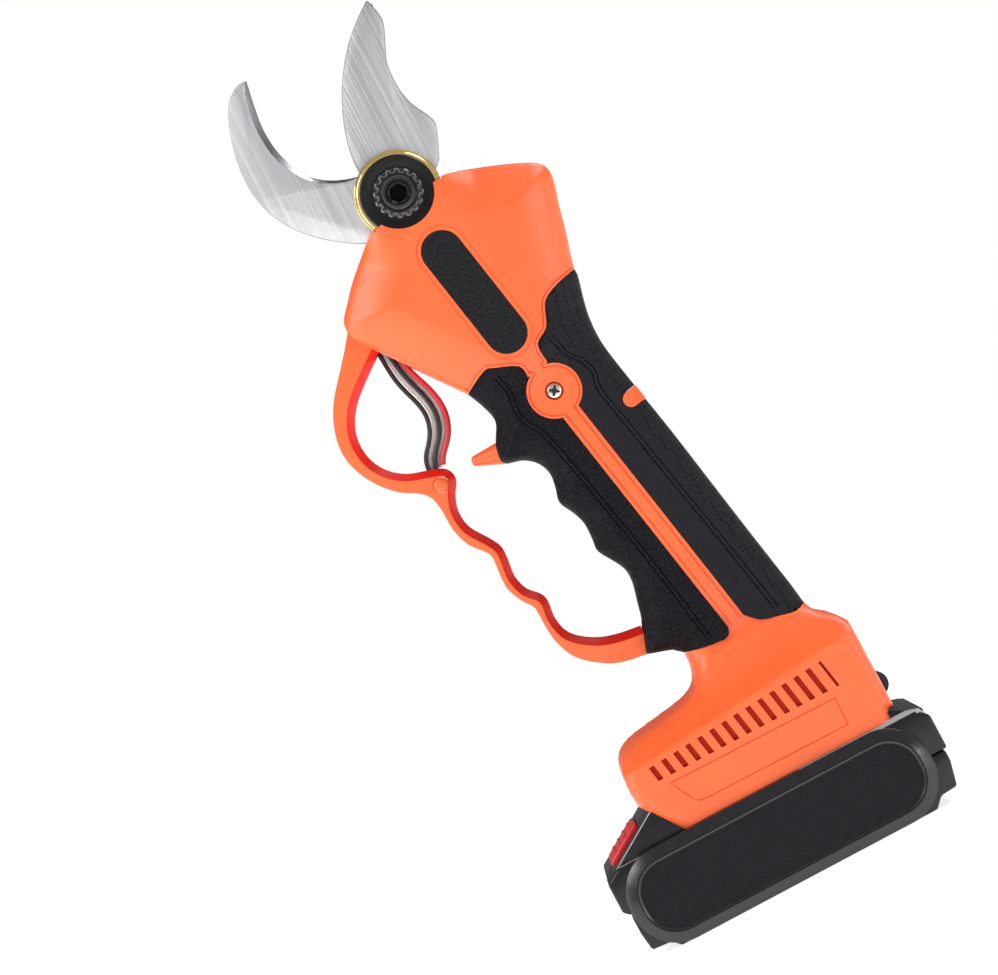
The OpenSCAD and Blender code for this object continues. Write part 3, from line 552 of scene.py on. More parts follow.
FINISHES = {
    "orange_shell": moulded("shell", 0.42, 0.12),
    # Painted shade: the guard's inner face in shadow, as a deep red
    "recess_red": moulded("recess", 0.5, specular=0.25),
    "vent_shadow": moulded("vents", 0.6, specular=0.2),
    "orange_guard": moulded("shell", 0.4, 0.12),
    "finger_rubber": leather("rubber", 1300, 0.0002, 0.6, 0.1),
    "palm_rubber": dimpled("rubber", 639, 0.0005, 0.48, 0.16),
    "inlay_rubber": leather((0.012, 0.012, 0.0145), 1500, 0.0003, 0.55, 0.14),
    "black_plastic": moulded((0.012, 0.012, 0.014), 0.42, 0.05),
    "battery_black": moulded("battery", 0.3, specular=0.4),
    "battery_cover": dashed("battery", 0.5),
    "cover_rim": moulded("battery", 0.28, specular=0.6),
    # Light grey painted sheen on the battery's rear deck and painted highlight on the front slope's edges
    "deck_sheen": moulded((0.33, 0.33, 0.34), 0.3, specular=0.6),
    "dark_nut": moulded((0.006, 0.006, 0.007), 0.35, specular=0.3),
    "nut_gloss": moulded((0.005, 0.005, 0.006), 0.16, specular=0.7),
    # Light grey painted highlight along the edges and notch walls of the nut's teeth
    "nut_worn": moulded((0.15, 0.15, 0.155), 0.3, specular=0.6),
    # Near-black painted shade inside the bolt's hex socket
    "socket_dark": moulded((0.0015, 0.0015, 0.0015), 0.5, specular=0.1),
    "screw_shadow": metal((0.06, 0.06, 0.06), 0.5),
    "blade_steel": brushed("steel", 0.38, (2600, 500, 13), 0.1),
    "edge_steel": brushed((0.26, 0.26, 0.275), 0.3, (500, 500, 40), 0.1),
    "gear_steel": metal((0.42, 0.42, 0.44), 0.35),
    "zinc_steel": metal((0.74, 0.73, 0.7), 0.28),
    "brass": metal("brass", 0.2),
    "bronze": metal((0.62, 0.42, 0.2), 0.35),
    "copper": metal((0.85, 0.42, 0.25), 0.3),
    "magnet": metal((0.2, 0.2, 0.21), 0.5),
    "frame_alloy": metal((0.6, 0.6, 0.62), 0.45, 2400, 0.00003),
    "board_green": board,
    "capacitor_sleeve": coated((0.02, 0.03, 0.12), 0.35),
    "wire_black": coated((0.004, 0.004, 0.005), 0.4),
    "wire_white": coated((0.93, 0.93, 0.92), 0.4),
    "wire_red": coated((0.55, 0.012, 0.02), 0.38),
    "cell_wrap": coated((0.05, 0.2, 0.4), 0.35),
    "red_plastic": moulded("latch", 0.32, 0.3),
}


# ---- Body of the housing: the outline swollen to its thickness ----
def smoothstep(x, a, b):
    t = np.clip((x - a) / (b - a), 0, 1)
    return t * t * (3 - 2 * t)


def edge_distance(x, z):
    """Distance of each point to the outline of the body, its flat bottom left out."""
    loop = np.array(BODY)
    a, b = loop, np.roll(loop, -1, axis=0)
    keep = ~((a[:, 1] < BOTTOM_Z + 0.1) & (b[:, 1] < BOTTOM_Z + 0.1))
    best = np.full(len(x), 1e9)
    for (ax, az), (bx, bz) in zip(a[keep], b[keep]):
        dx, dz = bx - ax, bz - az
        t = np.clip(((x - ax) * dx + (z - az) * dz) / (dx * dx + dz * dz + 1e-12), 0, 1)
        best = np.minimum(best, (x - ax - t * dx) ** 2 + (z - az - t * dz) ** 2)
    return np.sqrt(best)


TO_HANDLE = np.array(TO_TOOL.inverted())
# Half thickness of the handle, what the head adds, that of the base, and what its shoulders lose
HANDLE_HALF, HEAD_SWELL, BASE_HALF, SHOULDER_FALL = 18, 3, 33, 16.4


def half_depth(x, z, for_grips):
    """Half thickness of the body at side-view points, its edges rounded."""
    u = TO_HANDLE[0, 0] * x + TO_HANDLE[0, 2] * z + TO_HANDLE[0, 3]
    v = TO_HANDLE[2, 0] * x + TO_HANDLE[2, 2] * z + TO_HANDLE[2, 3]
    head = smoothstep(v, -78, -64)
    flat = HANDLE_HALF + HEAD_SWELL * head
    if for_grips:
        flat = flat - 0.7 * head
    else:
        flat = flat - smoothstep(-v, 160, 182) * 1.2
    crease = 56.2 + (x + 31.5) * 0.0884
    rise = np.clip((z - crease) / 21, 0, 1)
    base = BASE_HALF - SHOULDER_FALL * (1 - (1 - rise) ** 1.9)
    in_base = smoothstep(-z, -84, -70)
    if not for_grips:
        flat = np.maximum(flat, base)
    wide = 9 + 6 * head
    deep = size("edge_round") + 0.5 * head
    if not for_grips:
        wide, deep = wide - 4.5 * in_base, deep - 4.2 * in_base
    # The cheek stays full and flat round the pivot
    near = smoothstep(-np.hypot(u, v), -26, -15)
    wide, deep = wide * (1 - 0.5 * near), deep * (1 - 0.7 * near)
    d = np.clip(edge_distance(x, z), 0, None)
    s = np.clip((wide - d) / wide, 0, 1)
    round_edge = 1 - np.sqrt(1 - s * s)
    facet = 0.45 * head
    return flat - deep * ((1 - facet) * round_edge + facet * s ** 1.15)


def body_solid(for_grips=False, voxel=0.8):
    base = 6.0
    mesh = to_mesh(outline_solid(BODY, -base, base))
    mesh = applied(mesh, ("REMESH", {"mode": "VOXEL", "voxel_size": voxel, "adaptivity": 0.0}))
    co = np.zeros(len(mesh.vertices) * 3)
    mesh.vertices.foreach_get("co", co)
    co = co.reshape(-1, 3)
    depth = half_depth(co[:, 0], co[:, 2], for_grips)
    co[:, 1] *= depth / base
    mesh.vertices.foreach_set("co", co.ravel())
    mesh.update()
    return mesh


def shrunk(mesh, by):
    """A copy of a mesh with its faces moved inwards."""
    bm = bmesh.new()
    bm.from_mesh(mesh)
    bm.normal_update()
    normals = [v.normal.copy() for v in bm.verts]
    for v, n in zip(bm.verts, normals):
        v.co -= n * by
    return to_mesh(bm)


def inset(loop, by):
    """A closed outline moved inwards, or outwards for a value below zero."""
    n = len(loop)
    area = sum(loop[i][0] * loop[(i + 1) % n][1] - loop[(i + 1) % n][0] * loop[i][1] for i in range(n))
    sign = 1 if area > 0 else -1
    out = []
    for i in range(n):
        (ax, az), (bx, bz), (cx, cz) = loop[i - 1], loop[i], loop[(i + 1) % n]
        d1 = Vector((bx - ax, bz - az))
        d2 = Vector((cx - bx, cz - bz))
        if d1.length < 1e-6 or d2.length < 1e-6:
            continue
        n1, n2 = Vector((-d1.y, d1.x)).normalized(), Vector((-d2.y, d2.x)).normalized()
        m = (n1 + n2)
        m = m.normalized() / max(0.5, math.sqrt(max(0.01, (1 + n1.dot(n2)) / 2))) if m.length > 1e-6 else n1
        out.append((bx + m.x * by * sign, bz + m.y * by * sign))
    return out


def mirrored(mesh):
    bm = bmesh.new()
    bm.from_mesh(mesh)
    bmesh.ops.transform(bm, matrix=Matrix.Scale(-1, 4, (0, 1, 0)), verts=bm.verts)
    bmesh.ops.reverse_faces(bm, faces=bm.faces)
    return to_mesh(bm)


def tool_prism(pts, y0, y1):
    return moved(outline_solid(pts, y0, y1), TO_TOOL)


# ---- Pieces ----
FAR = 60
SEAM = 0.2
VENT_X, VENT_Z, VENT_PITCH, VENT_TOP = -22.0, 49.9, 4.6, 55.0


def vent_slots():
    """Side-view outlines of the cooling slots, parallel to the handle."""
    slots = []
    step = Vector((AXIS.x, AXIS.z))
    for i in range(15):
        x, z = VENT_X + VENT_PITCH * i, VENT_Z
        width = size("vent_width") * (1 if i < 14 else 0.53)
        pts = [(x - width / 2, z), (x + width / 2, z)]
        top = []
        for px, pz in pts:
            slope = 4.7 / 66
            t = (VENT_TOP + slope * (px + 23.8) - pz) / (step.y - slope * step.x)
            top.append((px + step.x * t, pz + step.y * t))
        slots.append(pts + top[::-1])
    return slots


def shell_parts():
    """The left half of the housing and of its grips, as solids in millimetres."""
    body = body_solid()
    grip_body = body_solid(True)
    skin_step, skin_panel, skin_pad, skin_vent = [shrunk(body, t) for t in (
        size("border_step"), size("border_step") / 2, size("pad_depth"), size("vent_depth"))]
    left = to_mesh(block((-90, -FAR, 0), (90, -0.02, 300)))
    shell = combine(body, left, "INTERSECT")
    covered = to_mesh(tool_prism(FINGER, -FAR, FAR))
    palm = to_mesh(tool_prism(PALM, -FAR, FAR))
    for keep in (tool_prism(HEAD_LOOP, -70, 70), tool_prism(stadium(0, -60, -200, STRIP_X), -70, 70),
                 tool_prism(arc(BOSS_R, 0, 360, 48, BOSS)[:-1], -70, 70)):
        keep_mesh = to_mesh(keep)
        covered = combine(covered, keep_mesh)
        palm = combine(palm, keep_mesh)
    shell = combine(shell, covered)
    shell = combine(shell, palm)
    # Step along the border of the grips
    step = to_mesh(tool_prism(ZONE, -FAR, -1))
    border = None
    for near, far in ((inset(HEAD_LOOP, 0.7), inset(HEAD_LOOP, 1.15)),
                      (stadium(0, -60, -200, STRIP_X - 0.6), stadium(0, -60, -200, STRIP_X - 1.0)),
                      (arc(BOSS_R - 0.7, 0, 360, 48, BOSS)[:-1], arc(BOSS_R - 1.15, 0, 360, 48, BOSS)[:-1])):
        step = combine(step, tool_prism(far, -70, 70))
        near = to_mesh(tool_prism(near, -70, 70))
        border = combine(border, near, "UNION") if border else near
    step = combine(step, border, "INTERSECT")
    shell = combine(shell, combine(step, skin_step))
    # Core under the grips, hollow inside
    core = tool_prism([(-14.2, -58), (-14.2, -172), (18.4, -184), (18.4, -72), (22, -60), (25, -52),
                       (-8, -52)], -15.6, -0.02)
    shell = combine(shell, core, "UNION")
    cavity = to_mesh(tool_prism(inset(HEAD_LOOP, 4.2), -16.5, 5))
    cavity = combine(cavity, tool_prism([(-12.4, -50), (-12.4, -186), (16.6, -200), (16.6, -72), (21, -56),
                                         (22, -48)], -13.6, 5), "UNION")
    cavity = combine(cavity, outline_solid([(-21, 20), (-29.5, 45), (-29, 53), (52.4, 57), (52.4, 34),
                                            (50.5, 20)], -29.5, 5), "UNION")
    cavity = combine(cavity, outline_solid([(-27, 50), (-24, 60), (6, 66), (40, 70), (50, 62), (50, 50)],
                                           -17, 5), "UNION")
    shell = combine(shell, cavity)
    # Mouth of the head, pivot cut-out and wire slot
    shell = combine(shell, moved(block((-45, -15.2, -5), (21, 9.5, 12)), TO_TOOL))
    shell = combine(shell, moved(turned([(0, -19.2), (14.9, -19.2), (14.9, 9.5), (0, 9.5)]), TO_TOOL))
    cutout = [(0, -70), (CUTOUT_R, -70), (CUTOUT_R, 30), (0, 30)]
    shell = combine(shell, moved(turned(cutout, steps=96), TO_TOOL))
    shell = combine(shell, moved(block((-39.5, -2.6, -50), (-31, 2.6, -30)), TO_TOOL))
    shell = combine(shell, block((50, -5.2, 36), (60, 5.2, 48.4)))
    # Pad recess, label panel and vents
    pad = stadium(-0.6, -23.7, -57.3, 6.8, 24)
    shell = combine(shell, combine(to_mesh(tool_prism(inset(pad, -0.15), -FAR, -1)), skin_pad))
    rim = combine(to_mesh(tool_prism(inset(pad, -1.8), -FAR, -1)), tool_prism(inset(pad, -1.45), -70, 5))
    shell = combine(shell, combine(rim, skin_panel))
    panel = [(-20.3, 47.8), (39.8, 47.2), (39.6, 37.3), (-12.4, 37.8), (-14.6, 38.3), (-16, 39.8)]
    line = combine(to_mesh(outline_solid(panel, -FAR, -1)), outline_solid(inset(panel, 0.42), -70, 5))
    shell = combine(shell, combine(line, skin_step))
    for slot in vent_slots():
        shell = combine(shell, combine(to_mesh(outline_solid(slot, -FAR, -1)), skin_vent))
    # Grips and pad
    grips = combine(grip_body, left, "INTERSECT")
    grips = combine(grips, core_block())
    grips = combine(grips, tool_prism([(-42, -168.6), (-25, -169), (-21.5, -159), (-42, -155)], -7.1, 7.1))
    finger = combine(grips, shrunk(covered, SEAM), "INTERSECT")
    palm_piece = combine(grips, shrunk(palm, SEAM), "INTERSECT")
    grip_step = shrunk(grip_body, size("groove_depth"))
    for line, is_finger in ((FINGER_GROOVE, True), (PALM_GROOVE, False)):
        path = curve(line, 4)
        band = ribbon(path, 0.28)
        other = ribbon([(x + (-1.5 if is_finger else 1.5), z) for x, z in path], 0.22)
        for outline in (band, other):
            cutter = combine(to_mesh(tool_prism(outline, -FAR, -1)), grip_step)
            if is_finger:
                finger = combine(finger, cutter)
            else:
                palm_piece = combine(palm_piece, cutter)
    tab_outline = arc(2.7, 90, 270, 16, (18, -99.2)) + [(40, -101.9), (40, -96.5)]
    tab = to_mesh(tool_prism(tab_outline, -FAR, -0.02))
    palm_piece = combine(palm_piece, tool_prism(inset(tab_outline, -0.14), -FAR, 5))
    raised = shrunk(grip_body, -0.25)
    tab = combine(combine(combine(raised, tab, "INTERSECT"), left, "INTERSECT"), core_block())
    pad_piece = combine(to_mesh(tool_prism(pad, -FAR, -1)), combine(body, skin_pad), "INTERSECT")
    return shell, finger, palm_piece, tab, pad_piece


def core_block():
    """The space inside the grips that the handle's core fills."""
    return tool_prism([(-14, -40), (-14, -200), (18.2, -200), (18.2, -74), (21.8, -60), (25, -40)], -15.5, 5)


def ribbon(path, half):
    """Outline of a band along a side-view path."""
    left, right = [], []
    for i, (x, z) in enumerate(path):
        (ax, az), (bx, bz) = path[max(i - 1, 0)], path[min(i + 1, len(path) - 1)]
        d = Vector((bx - ax, bz - az)).normalized()
        left.append((x - d.y * half, z + d.x * half))
        right.append((x + d.y * half, z - d.x * half))
    return left + right[::-1]


def screw_hole(x, z, face_y, side, place):
    """Counterbored hole for a screw that enters at one face."""
    bm = turned([(0, -80), (3.0, -80), (3.0, -face_y + 2.2), (1.6, -face_y + 2.2), (1.6, -face_y + 12),
                 (0, -face_y + 12)], steps=40)
    if side > 0:
        bmesh.ops.transform(bm, matrix=Matrix.Scale(-1, 4, (0, 1, 0)), verts=bm.verts)
        bmesh.ops.reverse_faces(bm, faces=bm.faces)
    bmesh.ops.translate(bm, verts=bm.verts, vec=(x, 0, z))
    return moved(bm, place)


SCREWS = [(25, -26, 21), (-28, -30, 21), (0, -120, 18), (0, -160, 18)]
BASE_SCREWS = [(-24, 57, 32.5), (46, 60, 32.5)]


def build_housing():
    shell, finger, palm, tab, pad = shell_parts()
    trigger_hole = to_mesh(moved(turned_z([(0, -30), (4.0, -30), (4.0, 30), (0, 30)]), TRIGGER_AXIS))
    shell = combine(shell, trigger_hole)
    finger = combine(finger, trigger_hole)
    left = combine(shell, screw_hole(BOSS[0], BOSS[1], 18, -1, TO_TOOL))
    left = combine(left, tab, "UNION")
    right = mirrored(combine(shell, tab, "UNION"))
    for x, z, face in SCREWS:
        right = combine(right, screw_hole(x, z, face, 1, TO_TOOL))
    for x, z, face in BASE_SCREWS:
        right = combine(right, screw_hole(x, z, face, 1, TO_ROW))
    mats = [material("orange_shell"), material("vent_shadow")]

    lean = AXIS.x / AXIS.z

    # Walls and floors of the cooling slots get the painted shade of the vent_shadow finish
    def paint(co, normal):
        along = (co.x - lean * (co.z - VENT_Z) - VENT_X) / VENT_PITCH
        near = abs(along - round(along)) * VENT_PITCH < 1.15 and -0.3 < along < 14.3
        top = VENT_TOP + 0.4 + 0.0712 * (co.x + 23.8)
        return 1 if near and VENT_Z - 0.2 < co.z < top and abs(co.y) < 32.85 else 0

    piece("housing_left", left, mats, "tool", ["left_shell"], paint=paint)
    piece("housing_right", right, mats, "tool", ["right_shell"], paint=paint)
    rubber_f, rubber_p = [material("finger_rubber")], [material("palm_rubber")]
    for side, name in ((-1, "left"), (1, "right")):
        for kind, solid, mats, node in (("finger_grip", finger, rubber_f, "finger_grip"),
                                        ("palm_grip", palm, rubber_p, "palm_grip"),
                                        ("head_pad", pad, [material("inlay_rubber")], "head_inlay")):
            piece(f"{kind}_{name}", solid if side < 0 else mirrored(solid), mats, "tool",
                  [f"{name}_{node}"])


def turned_z(profile, steps=48):
    """A profile of (radius, height) points spun about the Z axis."""
    return moved(turned(profile, steps), Matrix.Rotation(math.radians(90), 4, "X"))


# The trigger's own axis, tilted up towards the head
TRIGGER_TILT = 21
TRIGGER_AXIS = (TO_TOOL @ Matrix.Translation((-26.4, 0, -86.6))
                @ Matrix.Rotation(math.radians(-90 + TRIGGER_TILT), 4, "Y"))


def screw_solid(length, radius=2.75):
    """Pan head screw along +Y, its top at y = 0, with a cross recess."""
    mesh = to_mesh(turned([(0, 0), (1.6, 0.06), (2.2, 0.22), (2.6, 0.55), (radius, 0.95), (radius, 1.8),
                           (1.5, 1.8), (1.5, length), (0, length)], steps=40))
    for half, deep, reach, turns in ((0.42, 1.1, 1.75, (45, 135)), (0.14, 0.55, 1.2, (0, 90))):
        for turn in turns:
            bar = block((-half, -1, -reach), (half, deep, reach))
            mesh = combine(mesh, moved(bar, Matrix.Rotation(math.radians(turn), 4, "Y")))
    return mesh


def build_screws():
    bm = bmesh.new()
    rows = [(BOSS[0], BOSS[1], 18, -1, TO_TOOL)]
    rows += [(x, z, face, 1, TO_TOOL) for x, z, face in SCREWS]
    rows += [(x, z, face, 1, TO_ROW) for x, z, face in BASE_SCREWS]
    solid = screw_solid(24)
    for x, z, face, side, place in rows:
        one = bmesh.new()
        one.from_mesh(solid)
        bmesh.ops.translate(one, verts=one.verts, vec=(0, -face + 0.35, 0))
        if side > 0:
            bmesh.ops.transform(one, matrix=Matrix.Rotation(math.pi, 4, "Z"), verts=one.verts)
        bmesh.ops.translate(one, verts=one.verts, vec=(x, 0, z))
        bmesh.ops.transform(one, matrix=place, verts=one.verts)
        bm.from_mesh(to_mesh(one))
    boss = TO_TOOL @ Vector((BOSS[0], 0, BOSS[1]))

    def paint(co, normal):
        recess = co.y < 0 and math.hypot(co.x - boss.x, co.z - boss.z) < 2.2 and co.y > -17.35
        return 1 if recess or (co.y < 0 and abs(normal.y) < 0.2) else 0

    piece("housing_screws", bm, [material("zinc_steel"), material("screw_shadow")], "tool",
          ["shell_screws"], paint=paint)


def layered(loop, flats, layers):
    """An outline made solid through several depths, some of its points moved at the outer ones."""
    bm = outline_solid(loop, flats[0], flats[1])
    for y0, y1, shift in layers:
        ends = [f for f in bm.faces if abs(f.calc_center_median().y - y0) < 1e-4 and len(f.verts) == len(loop)]
        face = max(ends, key=lambda f: f.calc_area())
        grown = bmesh.ops.extrude_face_region(bm, geom=[face])["geom"]
        if face.is_valid:
            bm.faces.remove(face)
        for v in [g for g in grown if isinstance(g, bmesh.types.BMVert)]:
            dx, dz = shift(v.co.x, v.co.z)
            v.co = (v.co.x + dx, y1, v.co.z + dz)
    bmesh.ops.recalc_face_normals(bm, faces=bm.faces)
    return bm


def inner_shift(inner, width, outward):
    """Moves the points on an inner curve away from the opening by a width along the curve's normal."""
    table = {}
    for i, (x, z) in enumerate(inner):
        (ax, az), (bx, bz) = inner[max(i - 1, 0)], inner[min(i + 1, len(inner) - 1)]
        d = Vector((bx - ax, bz - az)).normalized()
        w = width(i / (len(inner) - 1)) if callable(width) else width
        table[(round(x, 2), round(z, 2))] = (-d.y * w * outward, d.x * w * outward)

    def shift(x, z):
        return table.get((round(x, 2), round(z, 2)), (0, 0))
    return shift


GUARD_Y, CLOSE = 7, 1e-3


def build_guard():
    out, inner = curve(GUARD_OUT), curve(GUARD_IN)
    loop = out + inner
    shift = inner_shift(inner, 2.5, 1)
    bm = layered(loop, (-3.2, 3.2), [(-3.2, -GUARD_Y, shift), (3.2, GUARD_Y, shift)])
    outer = {(round(x, 2), round(z, 2)) for x, z in out[3:-3]}
    edges = edges_where(bm, lambda co: abs(abs(co.y) - GUARD_Y) < CLOSE
                        and (round(co.x, 2), round(co.z, 2)) in outer)
    soften(bm, edges, size("guard_round"), 3)
    mesh = to_mesh(bm)
    mesh = combine(mesh, moved(turned([(0, -9), (2.65, -9), (2.65, 9), (0, 9)], steps=40),
                               Matrix.Translation((-48, 0, -82.8))))
    mesh = combine(mesh, block((-49.6, -2.5, -79.5), (-42, 2.5, -74)))
    mesh = combine(mesh, block((-39.5, -2.6, -50), (-31, 2.6, -30)))
    inner_pts = np.array(inner)

    # Faces along the guard's inner curve get the deep red painted shade
    def paint(co, normal):
        near = np.min(np.hypot(inner_pts[:, 0] - co.x, inner_pts[:, 1] - co.z))
        return 1 if abs(normal.y) < 0.93 and near < 2.6 else 0

    piece("finger_guard", mesh, [material("orange_guard"), material("recess_red")], "tool",
          ["trigger_guard"], TO_TOOL, 40, paint)
    rise = [(2.5 * math.cos(math.radians(a)), 1.2 * math.sin(math.radians(a))) for a in range(90, -1, -15)]
    dome = [(r, -GUARD_Y + 0.1 - h) for r, h in rise] + [(r, GUARD_Y - 0.1 + h) for r, h in rise[::-1]]
    piece("guard_pin", moved(turned(dome, steps=40), Matrix.Translation((-48, 0, -82.8))),
          [material("orange_guard")], "tool", ["guard_rivet"], TO_TOOL)


BLADE_Y0, BLADE_Y1 = -10.5, -7.5
HOOK_Y0, HOOK_Y1 = -14.1, -10.6


def build_blades():
    steel = [material("blade_steel"), material("edge_steel")]

    def paint(co, normal):
        return 1 if abs(normal.y) < 0.96 else 0

    edge, back = curve(BLADE_EDGE), curve(BLADE_BACK)
    loop = edge + back[1:] + arc(14, -5, -195, 40)[:-1]
    shift = inner_shift(edge, size("blade_bevel"), -1)
    bm = layered(loop, (BLADE_Y0, BLADE_Y1 - 1.4), [(BLADE_Y1 - 1.4, BLADE_Y1, shift)])
    rim = edges_where(bm, lambda co: abs(co.y - BLADE_Y0) < CLOSE and math.hypot(co.x, co.z) > 14.5)
    soften(bm, rim, 0.25, 2)
    mesh = combine(to_mesh(bm), turned([(0, -20), (6.0, -20), (6.0, 0), (0, 0)]))
    piece("cutting_blade", mesh, steel, "blade", ["moving_blade"], TO_TOOL, 25, paint)
    out, inner = curve(HOOK_OUT), curve(HOOK_IN)
    loop = out + arc(14, -140, -330, 40) + inner[:-1]
    bevel = size("hook_bevel")

    def width(t):
        """Ground width along the hook: it grows from the root and runs out at the tip."""
        return 0.5 + bevel * min(1, 1.6 * t) * (1 if t < 0.9 else 10 * (1 - t) + 0.05)

    shift = inner_shift(inner, width, 1)
    bm = layered(loop, (HOOK_Y1, HOOK_Y0 + 1.5), [(HOOK_Y0 + 1.5, HOOK_Y0, shift)])
    rim = edges_where(bm, lambda co: abs(co.y - HOOK_Y0) < CLOSE and math.hypot(co.x, co.z) > 16)
    soften(bm, rim, 0.22, 2)
    mesh = combine(to_mesh(bm), outline_solid([(-14, -4), (-15.5, -19.5), (15.5, -19.5), (12, -6)],
                                              HOOK_Y0 + 0.01, HOOK_Y1 - 0.01), "UNION")
    mesh = combine(mesh, turned([(0, -20), (4.05, -20), (4.05, 0), (0, 0)]))
    piece("hook_jaw", mesh, steel, "tool", ["hook_blade"], TO_TOOL, 25, paint)


BOLT_R = 4.0


def build_pivot():
    hole = BOLT_R + 0.05
    ring = [(hole, -14.1), (14.2, -14.1), (14.5, -14.4), (14.5, -15.3), (14.25, -15.6), (13.75, -15.62),
            (13.6, -15.75), (13.6, -16.1), (13.45, -16.2), (hole, -16.2)]
    disc = [(hole, -16.2), (12.4, -16.2), (12.7, -16.5), (12.7, -18.0), (12.3, -18.4), (9.4, -18.4),
            (9.1, -18.25), (8.9, -18.25), (hole, -18.3)]
    piece("pivot_ring", turned(ring, steps=96), [material("brass")], "tool", ["brass_ring"], TO_TOOL)
    piece("pivot_disc", turned(disc, steps=96), [material("dark_nut")], "tool", ["cover_disc"],
          TO_TOOL)
    nut = to_mesh(turned([(hole, -18.25), (7.9, -18.25), (8.2, -18.6), (8.2, -20.0), (7.7, -20.5),
                          (6.3, -20.6), (5.8, -20.0), (5.3, -19.8), (5.0, -20.5), (hole, -20.6)], steps=96))
    teeth = bpy.context.scene.pruner_sizes.nut_teeth
    for i in range(teeth):
        notch = turned([(0, -22), (1.35, -22), (1.25, -20.6), (0.6, -19.3), (0.5, -18.7), (0, -18.6)], steps=16)
        turn = Matrix.Rotation(math.radians(360 / teeth * i), 4, "Y")
        nut = combine(nut, moved(notch, turn @ Matrix.Translation((0, 0, 7.7))))

    # Sloped faces of the teeth ring and of the inner step get the painted highlight
    def paint(co, normal):
        r = math.hypot(co.x, co.z)
        return 1 if abs(normal.y) < 0.85 and (6.3 < r < 8.1 or 4.9 < r < 5.35) else 0

    piece("pivot_nut", nut, [material("nut_gloss"), material("nut_worn")], "tool", ["lock_nut"],
          TO_TOOL, 25, paint)
    bolt = to_mesh(turned([(0, -20.2), (3.4, -20.2), (3.75, -20.6), (BOLT_R, -20.3), (BOLT_R, 8), (6.6, 8),
                           (7, 8.4), (7, 12.1), (6.6, 12.5), (0, 12.5)], steps=64))
    hexagon = [(3.2 * math.cos(math.radians(60 * k)), 3.2 * math.sin(math.radians(60 * k))) for k in range(6)]
    bolt = combine(bolt, outline_solid(hexagon, -23, -17.1))

    # Walls and floor of the hex socket get the near-black painted shade
    def painted_socket_shade(co, normal):
        return 1 if co.y < -17 and math.hypot(co.x, co.z) < 3.3 and (co.y > -20 or abs(normal.y) < 0.5) else 0

    piece("pivot_screw", bolt, [material("nut_gloss"), material("socket_dark")], "tool",
          ["pivot_bolt"], TO_TOOL, 32, painted_socket_shade)


def build_trigger():
    cone = [(0, 9.6), (1.0, 9.55), (1.5, 9.2), (1.75, 8.6), (3.55, 0.9), (3.8, 0.2), (3.8, -15.5),
            (2.4, -15.6), (2.4, -17), (0, -17)]
    piece("trigger", moved(turned_z(cone), TRIGGER_AXIS), [material("orange_guard")], "trigger",
          ["trigger_button"])


# Leads in the handle's frame: radius, depth and side-view route
ROUTES = {
    "wire_black_front": (0.8, -1, [(-37, -33), (-37.8, -40), (-38.8, -46), (-38, -53), (-37, -60),
        (-39, -66), (-43.5, -70.5), (-47.5, -73), (-48.5, -78)]),
    "wire_white_front": (0.8, 0.9, [(-36, -33), (-36, -40), (-37, -46), (-36, -53), (-35.2, -60),
        (-37, -66), (-41.5, -70.5), (-46, -73.5), (-47, -78)]),
    "wire_black_rear": (0.8, -1, [(-35, -33), (-35, -40), (-35.5, -46), (-34.5, -53), (-33.8, -60),
        (-35.5, -66.5), (-40, -71.5), (-44.8, -74.5), (-46, -78)]),
    "wire_white_rear": (0.8, 1, [(-34, -33), (-34, -40), (-34, -47), (-32.8, -54), (-32.4, -60), (-34, -67),
        (-38.5, -72), (-43.5, -75), (-44.8, -78)]),
    "wire_red": (1.0, -1, [(-33, -33), (-33.2, -40), (-33.2, -46), (-31.8, -53), (-31, -60), (-32.5, -67),
        (-37, -73), (-42, -75.5), (-43.4, -78)]),
}


def build_wires():
    for name, (radius, depth, route) in ROUTES.items():
        flat = bpy.data.curves.new(name, "CURVE")
        flat.dimensions = "3D"
        flat.bevel_depth = radius
        flat.bevel_resolution = 5
        flat.use_fill_caps = True
        spline = flat.splines.new("NURBS")
        spline.points.add(len(route) - 1)
        for point, (x, z) in zip(spline.points, route):
            point.co = (x, depth, z, 1)
        spline.order_u = 4
        spline.use_endpoint_u = True
        spline.resolution_u = 8
        holder = bpy.data.objects.new("route", flat)
        bpy.context.scene.collection.objects.link(holder)
        mesh = bpy.data.meshes.new_from_object(holder.evaluated_get(bpy.context.evaluated_depsgraph_get()))
        bpy.data.objects.remove(holder)
        finish = "_".join(name.split("_")[:2])
        piece("lead_" + name, mesh, [material(finish)], "tool", [name], TO_TOOL, 60)


# ---- Battery ----
IN_BATTERY = Matrix.Translation((BATT_X, 0, 0))
IN_SLOPE = IN_BATTERY @ Matrix.Translation((0, 0, 28.2)) @ Matrix.Rotation(-math.radians(31.8), 4, "Y")
# Side-view outlines from the front of the battery
LOWER = [(2, 15.9), (2, 9.4), (2.9, 3), (9.8, 2.5), (12, 0), (105, 0), (108, 3.3), (114, 3.7), (116, 12),
         (116, 15.9)]
UPPER = [(2, 16.1), (0, 18), (0, 28.2), (5, 31.2), (114, 31.2), (117, 28), (117, 16.1)]
DECK = [(0, 27.5), (0.2, 28.2), (22, 41.9), (25, 43.4), (28, 43.4), (28, 35.6), (104, 35.6), (116, 31),
        (116, 27.5)]
SHOULDER = [(70, 27.5), (70, 32.6), (113, 32.6), (116.4, 30.4), (116.4, 27.5)]
CASE_Y, COVER_LIFT = 35.0, 0.7


